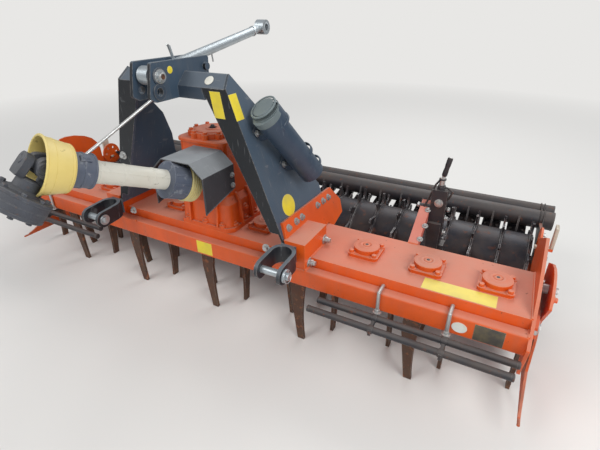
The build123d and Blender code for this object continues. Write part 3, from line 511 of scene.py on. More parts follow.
def build_scratches():
    """Fine scratches in two directions."""
    tree, enter, leave = effect_group("Scratches", Amount=0.5, Scale=16.0)
    place = surface(tree)
    marks = []
    for lean, stretch in (((0.4, 0.9, 0.3), (1.0, 14.0, 1.0)), ((1.1, 0.2, 0.8), (12.0, 1.0, 1.0))):
        laid = put(tree, "Mapping", {"Vector": place, "Rotation": lean, "Scale": stretch})
        fine = clouds(tree, laid.outputs["Vector"], enter["Scale"], 3.0, 0.5)
        marks.append(span(tree, fine, 0.66, 0.7))
    tree.links.new(times(tree, maths(tree, "MAXIMUM", *marks), enter["Amount"]), leave)


def build_splashes():
    """Soil thrown up from the ground, less with height."""
    tree, enter, leave = effect_group("Soil splashes", Amount=0.8, Scale=14.0, Top=0.45)
    place = surface(tree)
    low = span(tree, part_of(tree, place, "Z"), enter["Top"], 0.02)
    cloud = span(tree, clouds(tree, place, enter["Scale"], 7.0, 0.65), 0.42, 0.6)
    tree.links.new(times(tree, times(tree, low, cloud), enter["Amount"]), leave)


def build_grain():
    """The relief of a coat of paint, a casting or moulded plastic."""
    tree, enter, leave = effect_group("Grain", Amount=0.5, Scale=220.0)
    place = surface(tree)
    fine = clouds(tree, place, enter["Scale"], 4.0, 0.6)
    broad = clouds(tree, place, 12.0, 2.0, 0.5)
    mixed = put(tree, "Mix", {0: 0.35, 2: fine, 3: broad}, data_type="FLOAT").outputs[0]
    tree.links.new(times(tree, mixed, enter["Amount"]), leave)


GROUP_BUILDERS = (
    build_facing,
    build_behind,
    build_edge_wear,
    build_dust,
    build_blotches,
    build_streaks,
    build_chips,
    build_scratches,
    build_splashes,
    build_grain,
)


def place_group(tree, name, values):
    """Puts a group into a material with its values, and hands back what goes out."""
    used = tree.nodes.new("ShaderNodeGroup")
    used.node_tree = bpy.data.node_groups[name]
    for index, value in enumerate(values):
        used.inputs[index].default_value = value
    return used.outputs["Mask"]


def layered_finish(name, colour, roughness, metallic, grain, layers):
    """A material: a ground finish with its grain, then its layers, each mixed in by its group's mask."""
    finish = bpy.data.materials.new(name)
    finish.use_nodes = True
    tree = finish.node_tree
    shader = tree.nodes["Principled BSDF"]
    tint, gloss, metal = (*tone(colour), 1.0), roughness, metallic
    for group, values, over, over_gloss, *over_metal in layers:
        mask = place_group(tree, group, values)
        tint = put(tree, "Mix", {0: mask, 6: tint, 7: (*tone(over), 1.0)}, data_type="RGBA").outputs[2]
        gloss = put(tree, "Mix", {0: mask, 2: gloss, 3: over_gloss}, data_type="FLOAT").outputs[0]
        if over_metal:
            metal = put(tree, "Mix", {0: mask, 2: metal, 3: over_metal[0]}, data_type="FLOAT").outputs[0]
    for socket, value in (("Base Color", tint), ("Roughness", gloss), ("Metallic", metal)):
        if isinstance(value, bpy.types.NodeSocket):
            tree.links.new(value, shader.inputs[socket])
        else:
            shader.inputs[socket].default_value = value
    amount, scale, height = grain
    relief = place_group(tree, "Grain", (amount, scale))
    bump = put(tree, "Bump", {"Strength": 1.0, "Distance": height * MM, "Height": relief})
    tree.links.new(bump.outputs["Normal"], shader.inputs["Normal"])


# Settings

def colour_property(name, description, *screen):
    """A colour setting, its default given as it reads on a screen."""
    return FloatVectorProperty(
        name=name, description=description, default=srgb(*screen), subtype="COLOR", size=3, min=0.0, max=1.0
    )


def length_property(name, description, default, low, high):
    """A length setting in metres."""
    return FloatProperty(
        name=name, description=description, default=default, min=low, max=high, unit="LENGTH"
    )


class HarrowColours(bpy.types.PropertyGroup):
    """The colours of the machine's finishes."""

    frame_orange: colour_property("Frame orange", "Paint of the trough, beam, feet and gearbox", 220, 86, 14)
    orange_dust: colour_property("Dust on orange", "Pale dust lying on the orange paint", 192, 134, 114)
    # Headstock black: the satin dark paint drawn lighter and bluer, partly a painted sky reflection.
    headstock_black_sheen: colour_property("Headstock black", "Satin paint of the headstock", 54, 66, 80)
    # Arm slate: the arms' dark paint drawn lighter and bluer as a painted sky reflection on their sides.
    arm_slate_sheen: colour_property("Arm slate", "Sun-faded paint of the headstock's arms", 60, 77, 94)
    black_dust: colour_property("Dust on black", "Grey dust lying on dark parts", 128, 138, 146)
    soil: colour_property("Soil", "Dried soil near the ground", 96, 74, 58)
    tine_rust: colour_property("Tine rust", "Brown rust of the tines", 92, 56, 40)
    roller_steel: colour_property("Roller steel", "Dark worn steel of the roller", 47, 47, 54)
    guard_cream: colour_property("Guard cream", "Plastic of the drive shaft's tube", 208, 205, 193)
    guard_yellow: colour_property("Guard yellow", "Plastic of the drive shaft's bells", 226, 204, 124)
    guard_grey: colour_property("Guard grey", "Plastic of the drive shaft's collars", 84, 92, 108)
    canister_slate: colour_property("Canister slate", "Plastic of the document canister", 46, 62, 80)
    shield_grey: colour_property("Shield grey", "Rubber-like plastic of the shield", 58, 58, 62)
    plate_yellow: colour_property("Plate yellow", "Blank yellow plates", 230, 208, 50)
    floor_pale: colour_property("Floor", "The plain floor", 226, 224, 220)


class HarrowSizes(bpy.types.PropertyGroup):
    """The sizes of fasteners and trim."""

    cover_bolt: length_property(
        "Cover bolt", "Width across flats of the rotor covers' bolts", 0.016, 0.006, 0.04
    )
    foot_bolt: length_property(
        "Foot bolt", "Width across flats of the headstock feet's bolts", 0.020, 0.006, 0.04
    )
    plate_thickness: length_property(
        "Plate thickness", "Thickness of the blank plates", 0.0008, 0.0003, 0.003
    )
    weld_bead: length_property("Weld bead", "Radius of the weld beads", 0.004, 0.001, 0.01)
    cone_ribs: IntProperty(
        name="Cone ribs", description="Ribs of the drive shaft's inner cone", default=5, min=2, max=12
    )
    lamp_power: FloatProperty(
        name="Lamp power", description="Power of the main soft lamp",
        default=112.0, min=0.0, max=2000.0, unit="POWER",
    )


def colours():
    """The colours as they are set in the scene."""
    return bpy.context.scene.harrow_colours


def sizes():
    """The sizes as they are set in the scene."""
    return bpy.context.scene.harrow_sizes


def tone(colour):
    """A colour setting by its name, or screen numbers, as linear numbers."""
    return tuple(getattr(colours(), colour)) if isinstance(colour, str) else srgb(*colour)


# Finishes

RUST = (120, 66, 38)
ORANGE_BLOTCHES = ("Blotches", (0.35, 5.0, 0.42, 0.75), (150, 44, 14), 0.5)
BLACK_BASE = (
    ("Blotches", (0.3, 6.0, 0.45, 0.75), (66, 72, 80), 0.48),
    ("Run marks", (0.25, 26.0), (92, 94, 96), 0.6),
    ("Settled dust", (0.62, 6.0, 0.15), "black_dust", 0.75),
)
BLACK_WEAR = (
    ("Scratches", (0.35, 14.0), (130, 132, 134), 0.5),
    ("Edge wear", (0.004, 0.75, 50.0), (150, 146, 140), 0.45),
)
# Painted shade: the faces of the arms that look at the tractor drawn near black, as they lie in shade.
SHADED_FRONT = ("Facing the tractor", (1.0,), (18, 22, 28), 0.5)
PLATE_LAYERS = (
    ("Blotches", (0.35, 14.0, 0.42, 0.7), (170, 150, 90), 0.6),
    ("Settled dust", (0.3, 8.0, 0.3), (206, 190, 150), 0.8),
    ("Edge wear", (0.002, 0.8, 90.0), (200, 190, 170), 0.6),
)
COAT_WEIGHT, COAT_ROUGHNESS = 0.08, 0.3

# Each: colour, roughness, metallic, grain (amount, scale, height in mm), layers from the ground up.
# A layer: group, the group's inputs in order, colour, roughness and, if it changes, metallic.
FINISHES = {
    "Orange paint": ("frame_orange", 0.42, 0.0, (0.6, 160.0, 1.2), (
        ORANGE_BLOTCHES,
        ("Run marks", (0.3, 28.0), (176, 96, 70), 0.6),
        ("Settled dust", (0.95, 3.6, 0.3), "orange_dust", 0.8),
        ("Soil splashes", (0.5, 16.0, 0.4), "soil", 0.85),
        ("Chips", (0.7, 60.0, 0.7, 0.73), RUST, 0.7),
        ("Edge wear", (0.004, 0.5, 40.0), (232, 146, 96), 0.5),
    )),
    "Roller arm paint": ("frame_orange", 0.42, 0.0, (0.6, 160.0, 1.2), (
        ORANGE_BLOTCHES,
        ("Behind", (0.51 + SHIFT, 0.012), (58, 54, 56), 0.5),
        ("Settled dust", (0.6, 5.0, 0.3), "orange_dust", 0.8),
        ("Soil splashes", (0.6, 16.0, 0.4), "soil", 0.85),
        ("Chips", (0.6, 60.0, 0.7, 0.73), RUST, 0.7),
        ("Edge wear", (0.004, 0.6, 40.0), (206, 150, 120), 0.5),
    )),
    "Faded orange": ((205, 112, 96), 0.55, 0.0, (0.6, 150.0, 1.2), (
        ("Blotches", (0.5, 9.0, 0.4, 0.72), (190, 84, 54), 0.6),
        ("Settled dust", (0.7, 7.0, 0.2), (212, 150, 134), 0.85),
        ("Chips", (0.6, 50.0, 0.68, 0.72), RUST, 0.75),
    )),
    "Black paint": ("headstock_black_sheen", 0.36, 0.0, (0.45, 180.0, 1.2), (*BLACK_BASE, *BLACK_WEAR)),
    # Arm paint: painted sky reflection in its colour and painted shade on the faces that look at the tractor.
    "Arm paint": ("arm_slate_sheen", 0.36, 0.0, (0.45, 180.0, 1.2), (*BLACK_BASE, SHADED_FRONT, *BLACK_WEAR)),
    "Clevis paint": ((32, 34, 40), 0.36, 0.0, (0.45, 180.0, 1.2), (*BLACK_BASE, *BLACK_WEAR)),
    "Dark steel": ((50, 50, 55), 0.45, 0.3, (0.7, 140.0, 1.2), (
        ("Blotches", (0.6, 12.0, 0.4, 0.7), (74, 60, 52), 0.7, 0.1),
        ("Settled dust", (0.5, 9.0, 0.2), (120, 112, 106), 0.85, 0.0),
        ("Chips", (0.5, 50.0, 0.62, 0.7), RUST, 0.75, 0.0),
        ("Edge wear", (0.003, 0.8, 40.0), (150, 146, 142), 0.4, 0.8),
    )),
    "Tine steel": ((84, 64, 54), 0.55, 0.4, (1.0, 110.0, 1.8), (
        ("Blotches", (0.85, 14.0, 0.38, 0.66), "tine_rust", 0.8, 0.1),
        ("Chips", (0.8, 38.0, 0.56, 0.66), (150, 92, 58), 0.85, 0.0),
        ("Soil splashes", (0.8, 20.0, 0.3), "soil", 0.92, 0.0),
        ("Edge wear", (0.004, 0.8, 30.0), (156, 146, 138), 0.42, 0.8),
    )),
    "Roller steel": ("roller_steel", 0.42, 0.5, (0.8, 120.0, 1.2), (
        ("Blotches", (0.6, 7.0, 0.4, 0.7), (72, 66, 64), 0.62, 0.2),
        ("Chips", (0.5, 30.0, 0.58, 0.7), RUST, 0.8, 0.0),
        ("Soil splashes", (0.55, 13.0, 0.5), "soil", 0.9, 0.0),
        ("Edge wear", (0.004, 0.95, 26.0), (190, 188, 186), 0.32, 0.9),
    )),
    "Cast iron": ((78, 82, 90), 0.58, 0.25, (1.0, 190.0, 1.6), (
        ("Blotches", (0.6, 18.0, 0.4, 0.7), (58, 58, 64), 0.7, 0.1),
        ("Settled dust", (0.5, 12.0, 0.2), (128, 126, 122), 0.85, 0.0),
        ("Chips", (0.35, 60.0, 0.64, 0.7), (116, 84, 64), 0.8, 0.0),
        ("Edge wear", (0.003, 0.7, 50.0), (146, 146, 146), 0.45, 0.7),
    )),
    "Zinc": ((196, 198, 198), 0.34, 0.85, (0.4, 260.0, 0.6), (
        ("Blotches", (0.5, 60.0, 0.35, 0.7), (150, 150, 146), 0.5, 0.7),
        ("Settled dust", (0.4, 20.0, 0.2), (180, 170, 158), 0.8, 0.2),
        ("Chips", (0.5, 90.0, 0.62, 0.7), (140, 104, 80), 0.75, 0.1),
    )),
    "Dull zinc": ((196, 186, 170), 0.5, 0.3, (0.4, 200.0, 1.2), (
        ("Blotches", (0.5, 30.0, 0.4, 0.7), (168, 152, 132), 0.65, 0.1),
        ("Chips", (0.5, 70.0, 0.64, 0.7), RUST, 0.75, 0.0),
    )),
    "Chrome": ((180, 188, 192), 0.4, 0.7, (0.08, 160.0, 0.2), (
        ("Blotches", (0.4, 30.0, 0.45, 0.75), (160, 160, 158), 0.5),
        ("Scratches", (0.2, 40.0), (160, 160, 160), 0.5),
    )),
    "Cream plastic": ("guard_cream", 0.46, 0.0, (0.3, 150.0, 0.6), (
        ("Blotches", (0.3, 9.0, 0.45, 0.75), (196, 188, 166), 0.55),
        ("Scratches", (0.3, 18.0), (150, 142, 128), 0.6),
        ("Chips", (0.55, 26.0, 0.68, 0.72), (120, 112, 98), 0.7),
    )),
    "Yellow plastic": ("guard_yellow", 0.44, 0.0, (0.35, 120.0, 0.6), (
        ("Blotches", (0.4, 10.0, 0.42, 0.75), (206, 182, 96), 0.55),
        ("Settled dust", (0.3, 12.0, 0.2), (200, 190, 160), 0.75),
        ("Chips", (0.5, 34.0, 0.67, 0.71), (140, 124, 70), 0.7),
    )),
    "Cone plastic": ((206, 194, 138), 0.5, 0.0, (0.35, 120.0, 0.6), (
        ("Blotches", (0.5, 14.0, 0.42, 0.75), (170, 156, 100), 0.6),
        ("Settled dust", (0.4, 14.0, 0.2), (190, 184, 160), 0.8),
    )),
    "Grey plastic": ("guard_grey", 0.5, 0.0, (0.4, 160.0, 1.2), (
        ("Blotches", (0.55, 16.0, 0.42, 0.72), (58, 66, 82), 0.42),
        ("Chips", (0.6, 40.0, 0.6, 0.68), (140, 144, 150), 0.7),
        ("Settled dust", (0.4, 12.0, 0.2), (136, 138, 142), 0.8),
        ("Edge wear", (0.003, 0.5, 60.0), (150, 154, 160), 0.6),
    )),
    "Canister plastic": ("canister_slate", 0.38, 0.0, (0.3, 200.0, 0.8), (
        ("Blotches", (0.35, 12.0, 0.45, 0.75), (82, 92, 104), 0.5),
        ("Settled dust", (0.5, 9.0, 0.3), (128, 138, 142), 0.75),
        ("Scratches", (0.3, 22.0), (120, 130, 140), 0.6),
    )),
    "Canister cap": ((104, 116, 118), 0.5, 0.0, (0.3, 200.0, 0.8), (
        ("Blotches", (0.4, 16.0, 0.45, 0.75), (78, 88, 94), 0.5),
        ("Settled dust", (0.5, 12.0, 0.3), (140, 148, 148), 0.8),
    )),
    "Shield plastic": ("shield_grey", 0.5, 0.0, (0.5, 160.0, 1.2), (
        ("Blotches", (0.4, 7.0, 0.42, 0.72), (40, 36, 40), 0.45),
        ("Settled dust", (0.95, 4.0, 0.1), (150, 155, 158), 0.85),
        ("Scratches", (0.25, 20.0), (150, 150, 150), 0.6),
        ("Edge wear", (0.003, 0.4, 60.0), (150, 150, 150), 0.6),
    )),
    "Yellow plate": ("plate_yellow", 0.4, 0.0, (0.2, 120.0, 0.4), PLATE_LAYERS),
    "White plate": ((224, 226, 222), 0.4, 0.0, (0.2, 120.0, 0.4), PLATE_LAYERS),
    "Grey plate": ((70, 66, 62), 0.4, 0.0, (0.2, 120.0, 0.4), PLATE_LAYERS),
}

# The CAD nodes that wear each finish
NODE_FINISHES = {
    "Orange paint": (
        "trough", "rotor_covers", "front_beam", "end_plates", "headstock_feet", "gearbox",
        "deflector_right", "deflector_left",
    ),
    "Faded orange": ("levelling_struts",),
    "Black paint": ("headstock_cross",),
    "Arm paint": ("headstock_arms", "top_link_bracket"),
    "Clevis paint": ("clevises",),
    "Tine steel": ROTORS,
    "Roller steel": ("packer_roller", "scrapers"),
    "Roller arm paint": ("roller_arms",),
    "Dark steel": ("roller_frame_tube", "scraper_tube", "guard_bars", "levelling_guides", "levelling_bar"),
    "Cast iron": ("drive_inner_joint", "drive_outer_yoke", "drive_clutch"),
    "Zinc": (
        "roller_pivot_pins", "depth_stop_pins", "deflector_bolts", "levelling_spindles",
        "beam_u_bolts", "drive_support_rod",
    ),
    "Chrome": ("top_link", "top_link_pin", "lower_link_pins"),
    "Cream plastic": ("drive_guard_tube",),
    "Yellow plastic": ("drive_guard_bells",),
    "Grey plastic": ("drive_guard_collars",),
    "Canister plastic": ("canister",),
    "Canister cap": ("canister_lid",),
    "Shield plastic": ("drive_shield",),
}


class HARROW_OT_finishes(bpy.types.Operator):
    """Mix the machine's finishes: paints, steels and plastics"""

    bl_idname = "harrow.finishes"
    bl_label = "Mix finishes"

    def execute(self, context):
        for build in GROUP_BUILDERS:
            build()
        for name, values in FINISHES.items():
            layered_finish(name, *values)
        orange = bpy.data.materials["Orange paint"].node_tree.nodes["Principled BSDF"]
        orange.inputs["Coat Weight"].default_value = COAT_WEIGHT
        orange.inputs["Coat Roughness"].default_value = COAT_ROUGHNESS
        for finish, nodes in NODE_FINISHES.items():
            for name in nodes:
                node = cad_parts[name]
                if not node.material_slots:
                    raise RuntimeError(f"{name} has no material slot")
                for slot in node.material_slots:
                    slot.material = bpy.data.materials[finish]
        return {"FINISHED"}


class HARROW_OT_cover_bolts(bpy.types.Operator):
    """Put four bolts and a centre plug on each rotor cover"""

    bl_idname = "harrow.cover_bolts"
    bl_label = "Rotor cover bolts"

    def execute(self, context):
        heads, plugs, rims = blanks(3)
        across = sizes().cover_bolt / MM
        dome = ((15, -1), (15, 2.5), (18, 4.5), (25, 4.5), (29, 2))
        rim = (*dome, (40, 1), (45, 0.6), (48.4, -1.5), (48.4, -9))
        for index, x in enumerate(COVERS):
            for corner, (sx, sy) in enumerate(((-1, -1), (1, -1), (1, 1), (-1, 1))):
                spin = 0.37 * index + 0.71 * corner
                hex_bolt(heads, upwards(x + sx * 44, sy * 44, TROUGH_TOP + 12, spin), across)
            top = upwards(x, 0, TROUGH_TOP + 30)
            turned(rims, top, rim)
            turned(rims, top, ((6, 4.4), (11, 4.4), (13.6, 3), (13.6, -1), (6, -1), (6, 4.4)))
            turned(plugs, top, ((0, 6), (4, 6), (5.8, 4.8), (5.8, -1), (0, -1)), 20)
        make_piece("cover_bolt_heads", heads, "Orange paint")
        make_piece("cover_rims", rims, "Orange paint")
        make_piece("cover_plugs", plugs, "Dark steel")
        return {"FINISHED"}


class HARROW_OT_foot_bolts(bpy.types.Operator):
    """Bolt the headstock arms to their feet and the feet to the trough"""

    bl_idname = "harrow.foot_bolts"
    bl_label = "Headstock bolts"

    def execute(self, context):
        silver = bmesh.new()
        across = sizes().foot_bolt / MM
        for side in (1, -1):
            for y, z in ((-139, 530), (-80, 530), (-36, 529), (98, 524), (150, 522), (199, 520)):
                hex_bolt(silver, arm_place(y, z, 12, side), across * 0.8)
            for y, z in ((-16, 446), (-146, 414)):
                stud = sideways(side, 519, y, z, 0.4)
                hex_bolt(silver, stud, across * 1.1)
                puck(silver, stud, 9.4, 26.4, 20, 1.4)
            hex_bolt(silver, forwards(side * 354, BEAM_FRONT, 451, 0.2), across * 0.9)
        make_piece("headstock_bolts", silver, "Zinc")
        return {"FINISHED"}


class HARROW_OT_plates(bpy.types.Operator):
    """Stick the blank plates on the beam, trough, arms and bracket"""

    bl_idname = "harrow.plates"
    bl_label = "Blank plates"

    def execute(self, context):
        thick = sizes().plate_thickness / MM
        yellow, white, grey = blanks(3)
        beam = framed(spot(0, BEAM_FRONT, 0), (1, 0, 0), (0, -1, 0))
        cut_plate(yellow, beam, rectangle(0, 332, 80, 390), thick, 0.2)
        cut_plate(grey, beam, rectangle(1116, 328, 1204, 389), thick, 0.2)
        oval = [(1073 + 24 * math.cos(a), 357 + 20 * math.sin(a)) for a in angles(28)]
        cut_plate(white, beam, oval, thick, 0.2)
        cut_plate(yellow, level(0, 0, TROUGH_TOP), rectangle(928, -128, 1162, -64), thick, 0.2)
        low, high = [(z - ARM_FOOT_Z) / math.cos(ARM_LEAN) for z in (928, 1010)]
        cut_plate(yellow, arm_place(0, ARM_FOOT_Z), rectangle(-208, low, -166, high), thick, 0.2)
        puck(yellow, arm_place(-78, 595), 42, thick, 44, 0.2)
        rake = (0, -math.cos(ARM_RAKE), -math.sin(ARM_RAKE))
        front = framed(spot(0, -177, ARM_FOOT_Z), (1, 0, 0), rake)
        cut_plate(yellow, front, ((189, 500), (232, 500), (222, 588), (179, 588)), thick, 0.2)
        puck(yellow, sideways(1, 45, -236, 1079), 12, thick, 28, 0.2)
        puck(white, framed(spot(167, -189, 1047), (1, 0, 0), (0, -40, 42)), 17, thick, 32, 0.2)
        make_piece("yellow_plates", yellow, "Yellow plate")
        make_piece("white_plates", white, "White plate")
        make_piece("grey_plate", grey, "Grey plate")
        return {"FINISHED"}


class HARROW_OT_link_fittings(bpy.types.Operator):
    """Fit rims, pins, threads and clips to the top link and its bracket"""

    bl_idname = "harrow.link_fittings"
    bl_label = "Top link fittings"

    def execute(self, context):
        rims, pin, core, link, clips = blanks(5)
        y, z = LINK_EYE.y, LINK_EYE.z
        for side in (1, -1):
            for hole in ((y, z), (-297, 1018)):
                rim = ((13, 0), (13, 5.6), (20, 6.4), (26.4, 5.4), (27, 0))
                turned(rims, sideways(side, 45, *hole), rim)
            end = sideways(side, 64, y, z)
            turned(pin, end, ((9, -1), (9, 1.6), (11.5, 1.6), (12.9, 0), (12.9, -6), (9, -1)), 28)
            turned(core, end, ((0, 0.4), (9, 0.4), (9, -1), (0, -1)), 28)
            washer = ((13, 0), (22, 0), (23, 2), (22, 5), (13, 5), (13, 0))
            turned(pin, sideways(side, 50, y, z), washer, 28)
            for distance in (0, LINK_LENGTH):
                eye = raised(link_place(distance) @ Matrix.Rotation(side * math.pi / 2, 4, "Y"), 21.5)
                turned(link, eye, ((13, -2), (13, 1.5), (17, 1.5), (21, -1.5), (29.8, -4), (29.8, -10)))
        thread = ((12.6, 0), (13.9, 1), (13.9, 2.2), (12.6, 3.2))
        for start, count in ((34, 16), (636, 9)):
            for index in range(count):
                turned(link, link_place(start + index * 4), thread, 24)
        puck(link, link_place(92), 21, 9, 6, 1)
        turned(link, link_place(102), ((17, 0), (19.4, 0), (20.4, 3), (20.4, 12), (18.2, 15)))
        turned(link, link_place(616), ((18.2, 0), (20.4, 3), (20.4, 12), (19.4, 15), (13, 15)))
        for radius, line in ((4.5, ((128, 17), (118, 66), (112, 70))), (3, ((330, -16), (330, -46)))):
            bent_rod(clips, [link_place(*point).translation for point in line], radius)
        make_piece("bracket_rims", rims, "Black paint")
        make_piece("top_link_pin_ends", pin, "Zinc")
        make_piece("top_link_pin_cores", core, "Tine steel")
        make_piece("top_link_fittings", link, "Chrome", "top_link")
        make_piece("top_link_handle", clips, "Zinc", "top_link")
        return {"FINISHED"}


class HARROW_OT_lower_pins(bpy.types.Operator):
    """Fit rings, collars and linchpins to the lower link pins"""

    bl_idname = "harrow.lower_pins"
    bl_label = "Lower link pin fittings"

    def execute(self, context):
        steel = bmesh.new()
        outer = 504
        for side in (1, -1):
            collar = ((14.4, 0), (23, 0), (25, 2), (25, 5), (23, 7), (14.4, 7))
            turned(steel, sideways(side, outer + 0.2, *LOWER_PIN), collar)
            tip = sideways(side, outer + 18.5, *LOWER_PIN)
            turned(steel, tip, ((14.3, -6), (14.3, -1), (12, 1.4), (0, 1.4)))
            ring = framed(spot(side * (outer + 12), *LOWER_PIN), (0, 1, 0), (side, 0, 0.25))
            bent_rod(steel, arc_points(ring, 23, 0.6, 0.6 + math.tau * 0.94, 22), 1.8, 8)
            inner = sideways(side, 388, *LOWER_PIN, way=-1)
            turned(steel, inner, ((0, 1.4), (10, 1.4), (14.3, -1), (14.3, -6), (0, -6)), 28)
            washer = sideways(side, 399.5, *LOWER_PIN, way=-1)
            turned(steel, washer, ((14.2, 0), (22, 0), (23, 1.5), (22, 5), (14.2, 5), (14.2, 0)), 28)
        make_piece("lower_pin_fittings", steel, "Chrome")
        return {"FINISHED"}


class HARROW_OT_gearbox_fittings(bpy.types.Operator):
    """Bolt the gearbox down and close its top with a bolted cover"""

    bl_idname = "harrow.gearbox_fittings"
    bl_label = "Gearbox fittings"

    def execute(self, context):
        bolts, casting, dark = blanks(3)
        middle = (GEARBOX_X, GEARBOX_Y)
        for angle in angles(10):
            x, y = [part + 86 * turn for part, turn in zip(middle, (math.cos(angle), math.sin(angle)))]
            hex_bolt(bolts, upwards(x, y, 822, angle * 2.3), 15)
        cover = upwards(*middle, 826)
        ring = ((72, -2), (72, 2.5), (69, 4), (58, 4), (55, 2), (30, 2), (27, 5), (17, 5), (17, -2), (72, -2))
        turned(casting, cover, ring, 40)
        ends = [(x, y) for y in (-122, 100) for x in (-80, 10, 100)]
        for x, y in ends + [(x, y) for x in (-116, 137) for y in (-86, -12, 62)]:
            puck(casting, upwards(x, y, GEARBOX_FOOT), 14, 11, 24, 2)
            hex_bolt(bolts, upwards(x, y, GEARBOX_FOOT + 11, x * 0.7 + y), 16)
        cut_plate(casting, level(0, 0, 790), rounded(*middle, 119, 98, 34), 13, 3)
        front_rib = ((-110, 446), (-137, 446), (-135, 470), (-129, 540), (-112, 584), (-98, 584))
        for x in (-62, 82):
            cut_plate(casting, upright(x - 4), front_rib, 8, 1.5)
        side_rib = ((118, 446), (148, 446), (146, 470), (140, 540), (122, 584), (106, 584))
        for y in (-49, 25):
            for way in (1, -1):
                place = framed(spot(GEARBOX_X, y + way * 4, 0), (way, 0, 0), (0, -way, 0))
                cut_plate(casting, place, side_rib, 8, 1.5)
        x, z = SHAFT_JOINT.x, SHAFT_JOINT.z
        turned(casting, forwards(x, -106, z), ((54, -4), (54, 5), (62, 5), (66, 1), (66, -4), (54, -4)), 36)
        for angle in angles(8, 0.5):
            place = forwards(x + 60 * math.cos(angle), -110, z + 60 * math.sin(angle), angle)
            hex_bolt(bolts, place, 10, False)
        plug = sideways(1, 138, GEARBOX_Y, 505)
        turned(casting, plug, ((0, 7), (15, 7), (17, 5), (17, -2), (0, -2)), 28)
        puck(bolts, raised(plug, 7), 10, 8, 6, 1.2)
        turned(dark, cover, ((0, 16), (6, 16), (8, 13), (8, 9), (12, 9), (12, 5), (12, -1), (0, -1)), 24)
        make_piece("gearbox_bolts", bolts, "Orange paint")
        make_piece("gearbox_casting", casting, "Orange paint")
        make_piece("gearbox_breather", dark, "Dark steel")
        return {"FINISHED"}


class HARROW_OT_shield_trim(bpy.types.Operator):
    """Hem the drive shaft's shield and screw it to the gearbox"""

    bl_idname = "harrow.shield_trim"
    bl_label = "Shield trim"

    def execute(self, context):
        hem, screws = blanks(2)
        middle = SHAFT_JOINT.x
        line = ((170, 591), (170, 731), (117, 778), (-17, 778), (-70, 731), (-70, 591))
        bent_rod(hem, [spot(middle + (x - middle) * 0.985, -283, z - 2) for x, z in line], 3)
        for side, x in ((1, 170), (-1, -70)):
            inside = x - (x - middle) * 0.014
            bent_rod(hem, (spot(inside, -283, 592), spot(inside, -106, 634)), 2.6)
            for z in (650, 692):
                hex_bolt(screws, facing(spot(x, -120, z), (side, 0, 0), 0.3), 12)
        for x in (-44, 144):
            hex_bolt(screws, forwards(x, -108, 714, 0.5), 12)
        make_piece("shield_hem", hem, "Shield plastic")
        make_piece("shield_screws", screws, "Zinc")
        return {"FINISHED"}


class HARROW_OT_guard_fittings(bpy.types.Operator):
    """Shape the folds, seams and latches of the drive shaft's guard"""

    bl_idname = "harrow.guard_fittings"
    bl_label = "Drive shaft guard"

    def execute(self, context):
        folds, yellow, cream, grey = blanks(4)
        ribs = sizes().cone_ribs
        for index in range(ribs):
            place = shaft_place(-17 + 36 * index / (ribs - 1))
            turned(folds, place, ((67, -4.6), (70, -3), (72.4, 0), (70, 3), (67, 4.6), (67, -4.6)), 40)
        for distance in (426, 470):
            rim = 73 + 15 * (distance - 417) / 82
            ridge = ((rim - 3, -3), (rim + 0.6, -1.4), (rim + 1.2, 1.4), (rim - 2, 3), (rim - 3, -3))
            turned(yellow, shaft_place(distance), ridge, 48)
        bent_rod(yellow, arc_points(shaft_place(497), 87, -1.15, math.pi + 1.15, 40), 4, 12)
        turned(yellow, shaft_place(419), ((56, -3), (72, -3), (75, 1), (72, 3), (56, 3), (56, -3)), 48)
        seam = ((35, -5), (37, -4), (37.6, 0), (37, 4), (35, 5), (35, -5))
        for distance in (150, 250, 330):
            turned(cream, shaft_place(distance), seam, 36)
        for angle in (0.35, 0.35 + math.pi):
            slab(cream, around(shaft_place(221), angle, 36), (2.2, 5, 244), 0.9)
        for distance in (27, 91):
            turned(grey, shaft_place(distance), crowned(62, 67.5, 68.4, 3), 40)
        for angle in angles(12):
            slab(grey, around(shaft_place(59), angle, 66), (5, 9, 58), 1.8)
        for distance in (352, 383, 414):
            turned(grey, shaft_place(distance), crowned(51, 55.5, 56.4, 3), 40)
        for angle in (0.9, 2.6, 4.4):
            slab(grey, around(shaft_place(383), angle, 55), (10, 22, 34), 3)
            slab(grey, around(shaft_place(383), angle, 59), (8, 10, 22), 2)
        make_piece("guard_cone_folds", folds, "Cone plastic")
        make_piece("guard_bell_ribs", yellow, "Yellow plastic")
        make_piece("guard_tube_seams", cream, "Cream plastic")
        make_piece("guard_collar_ribs", grey, "Grey plastic")
        return {"FINISHED"}


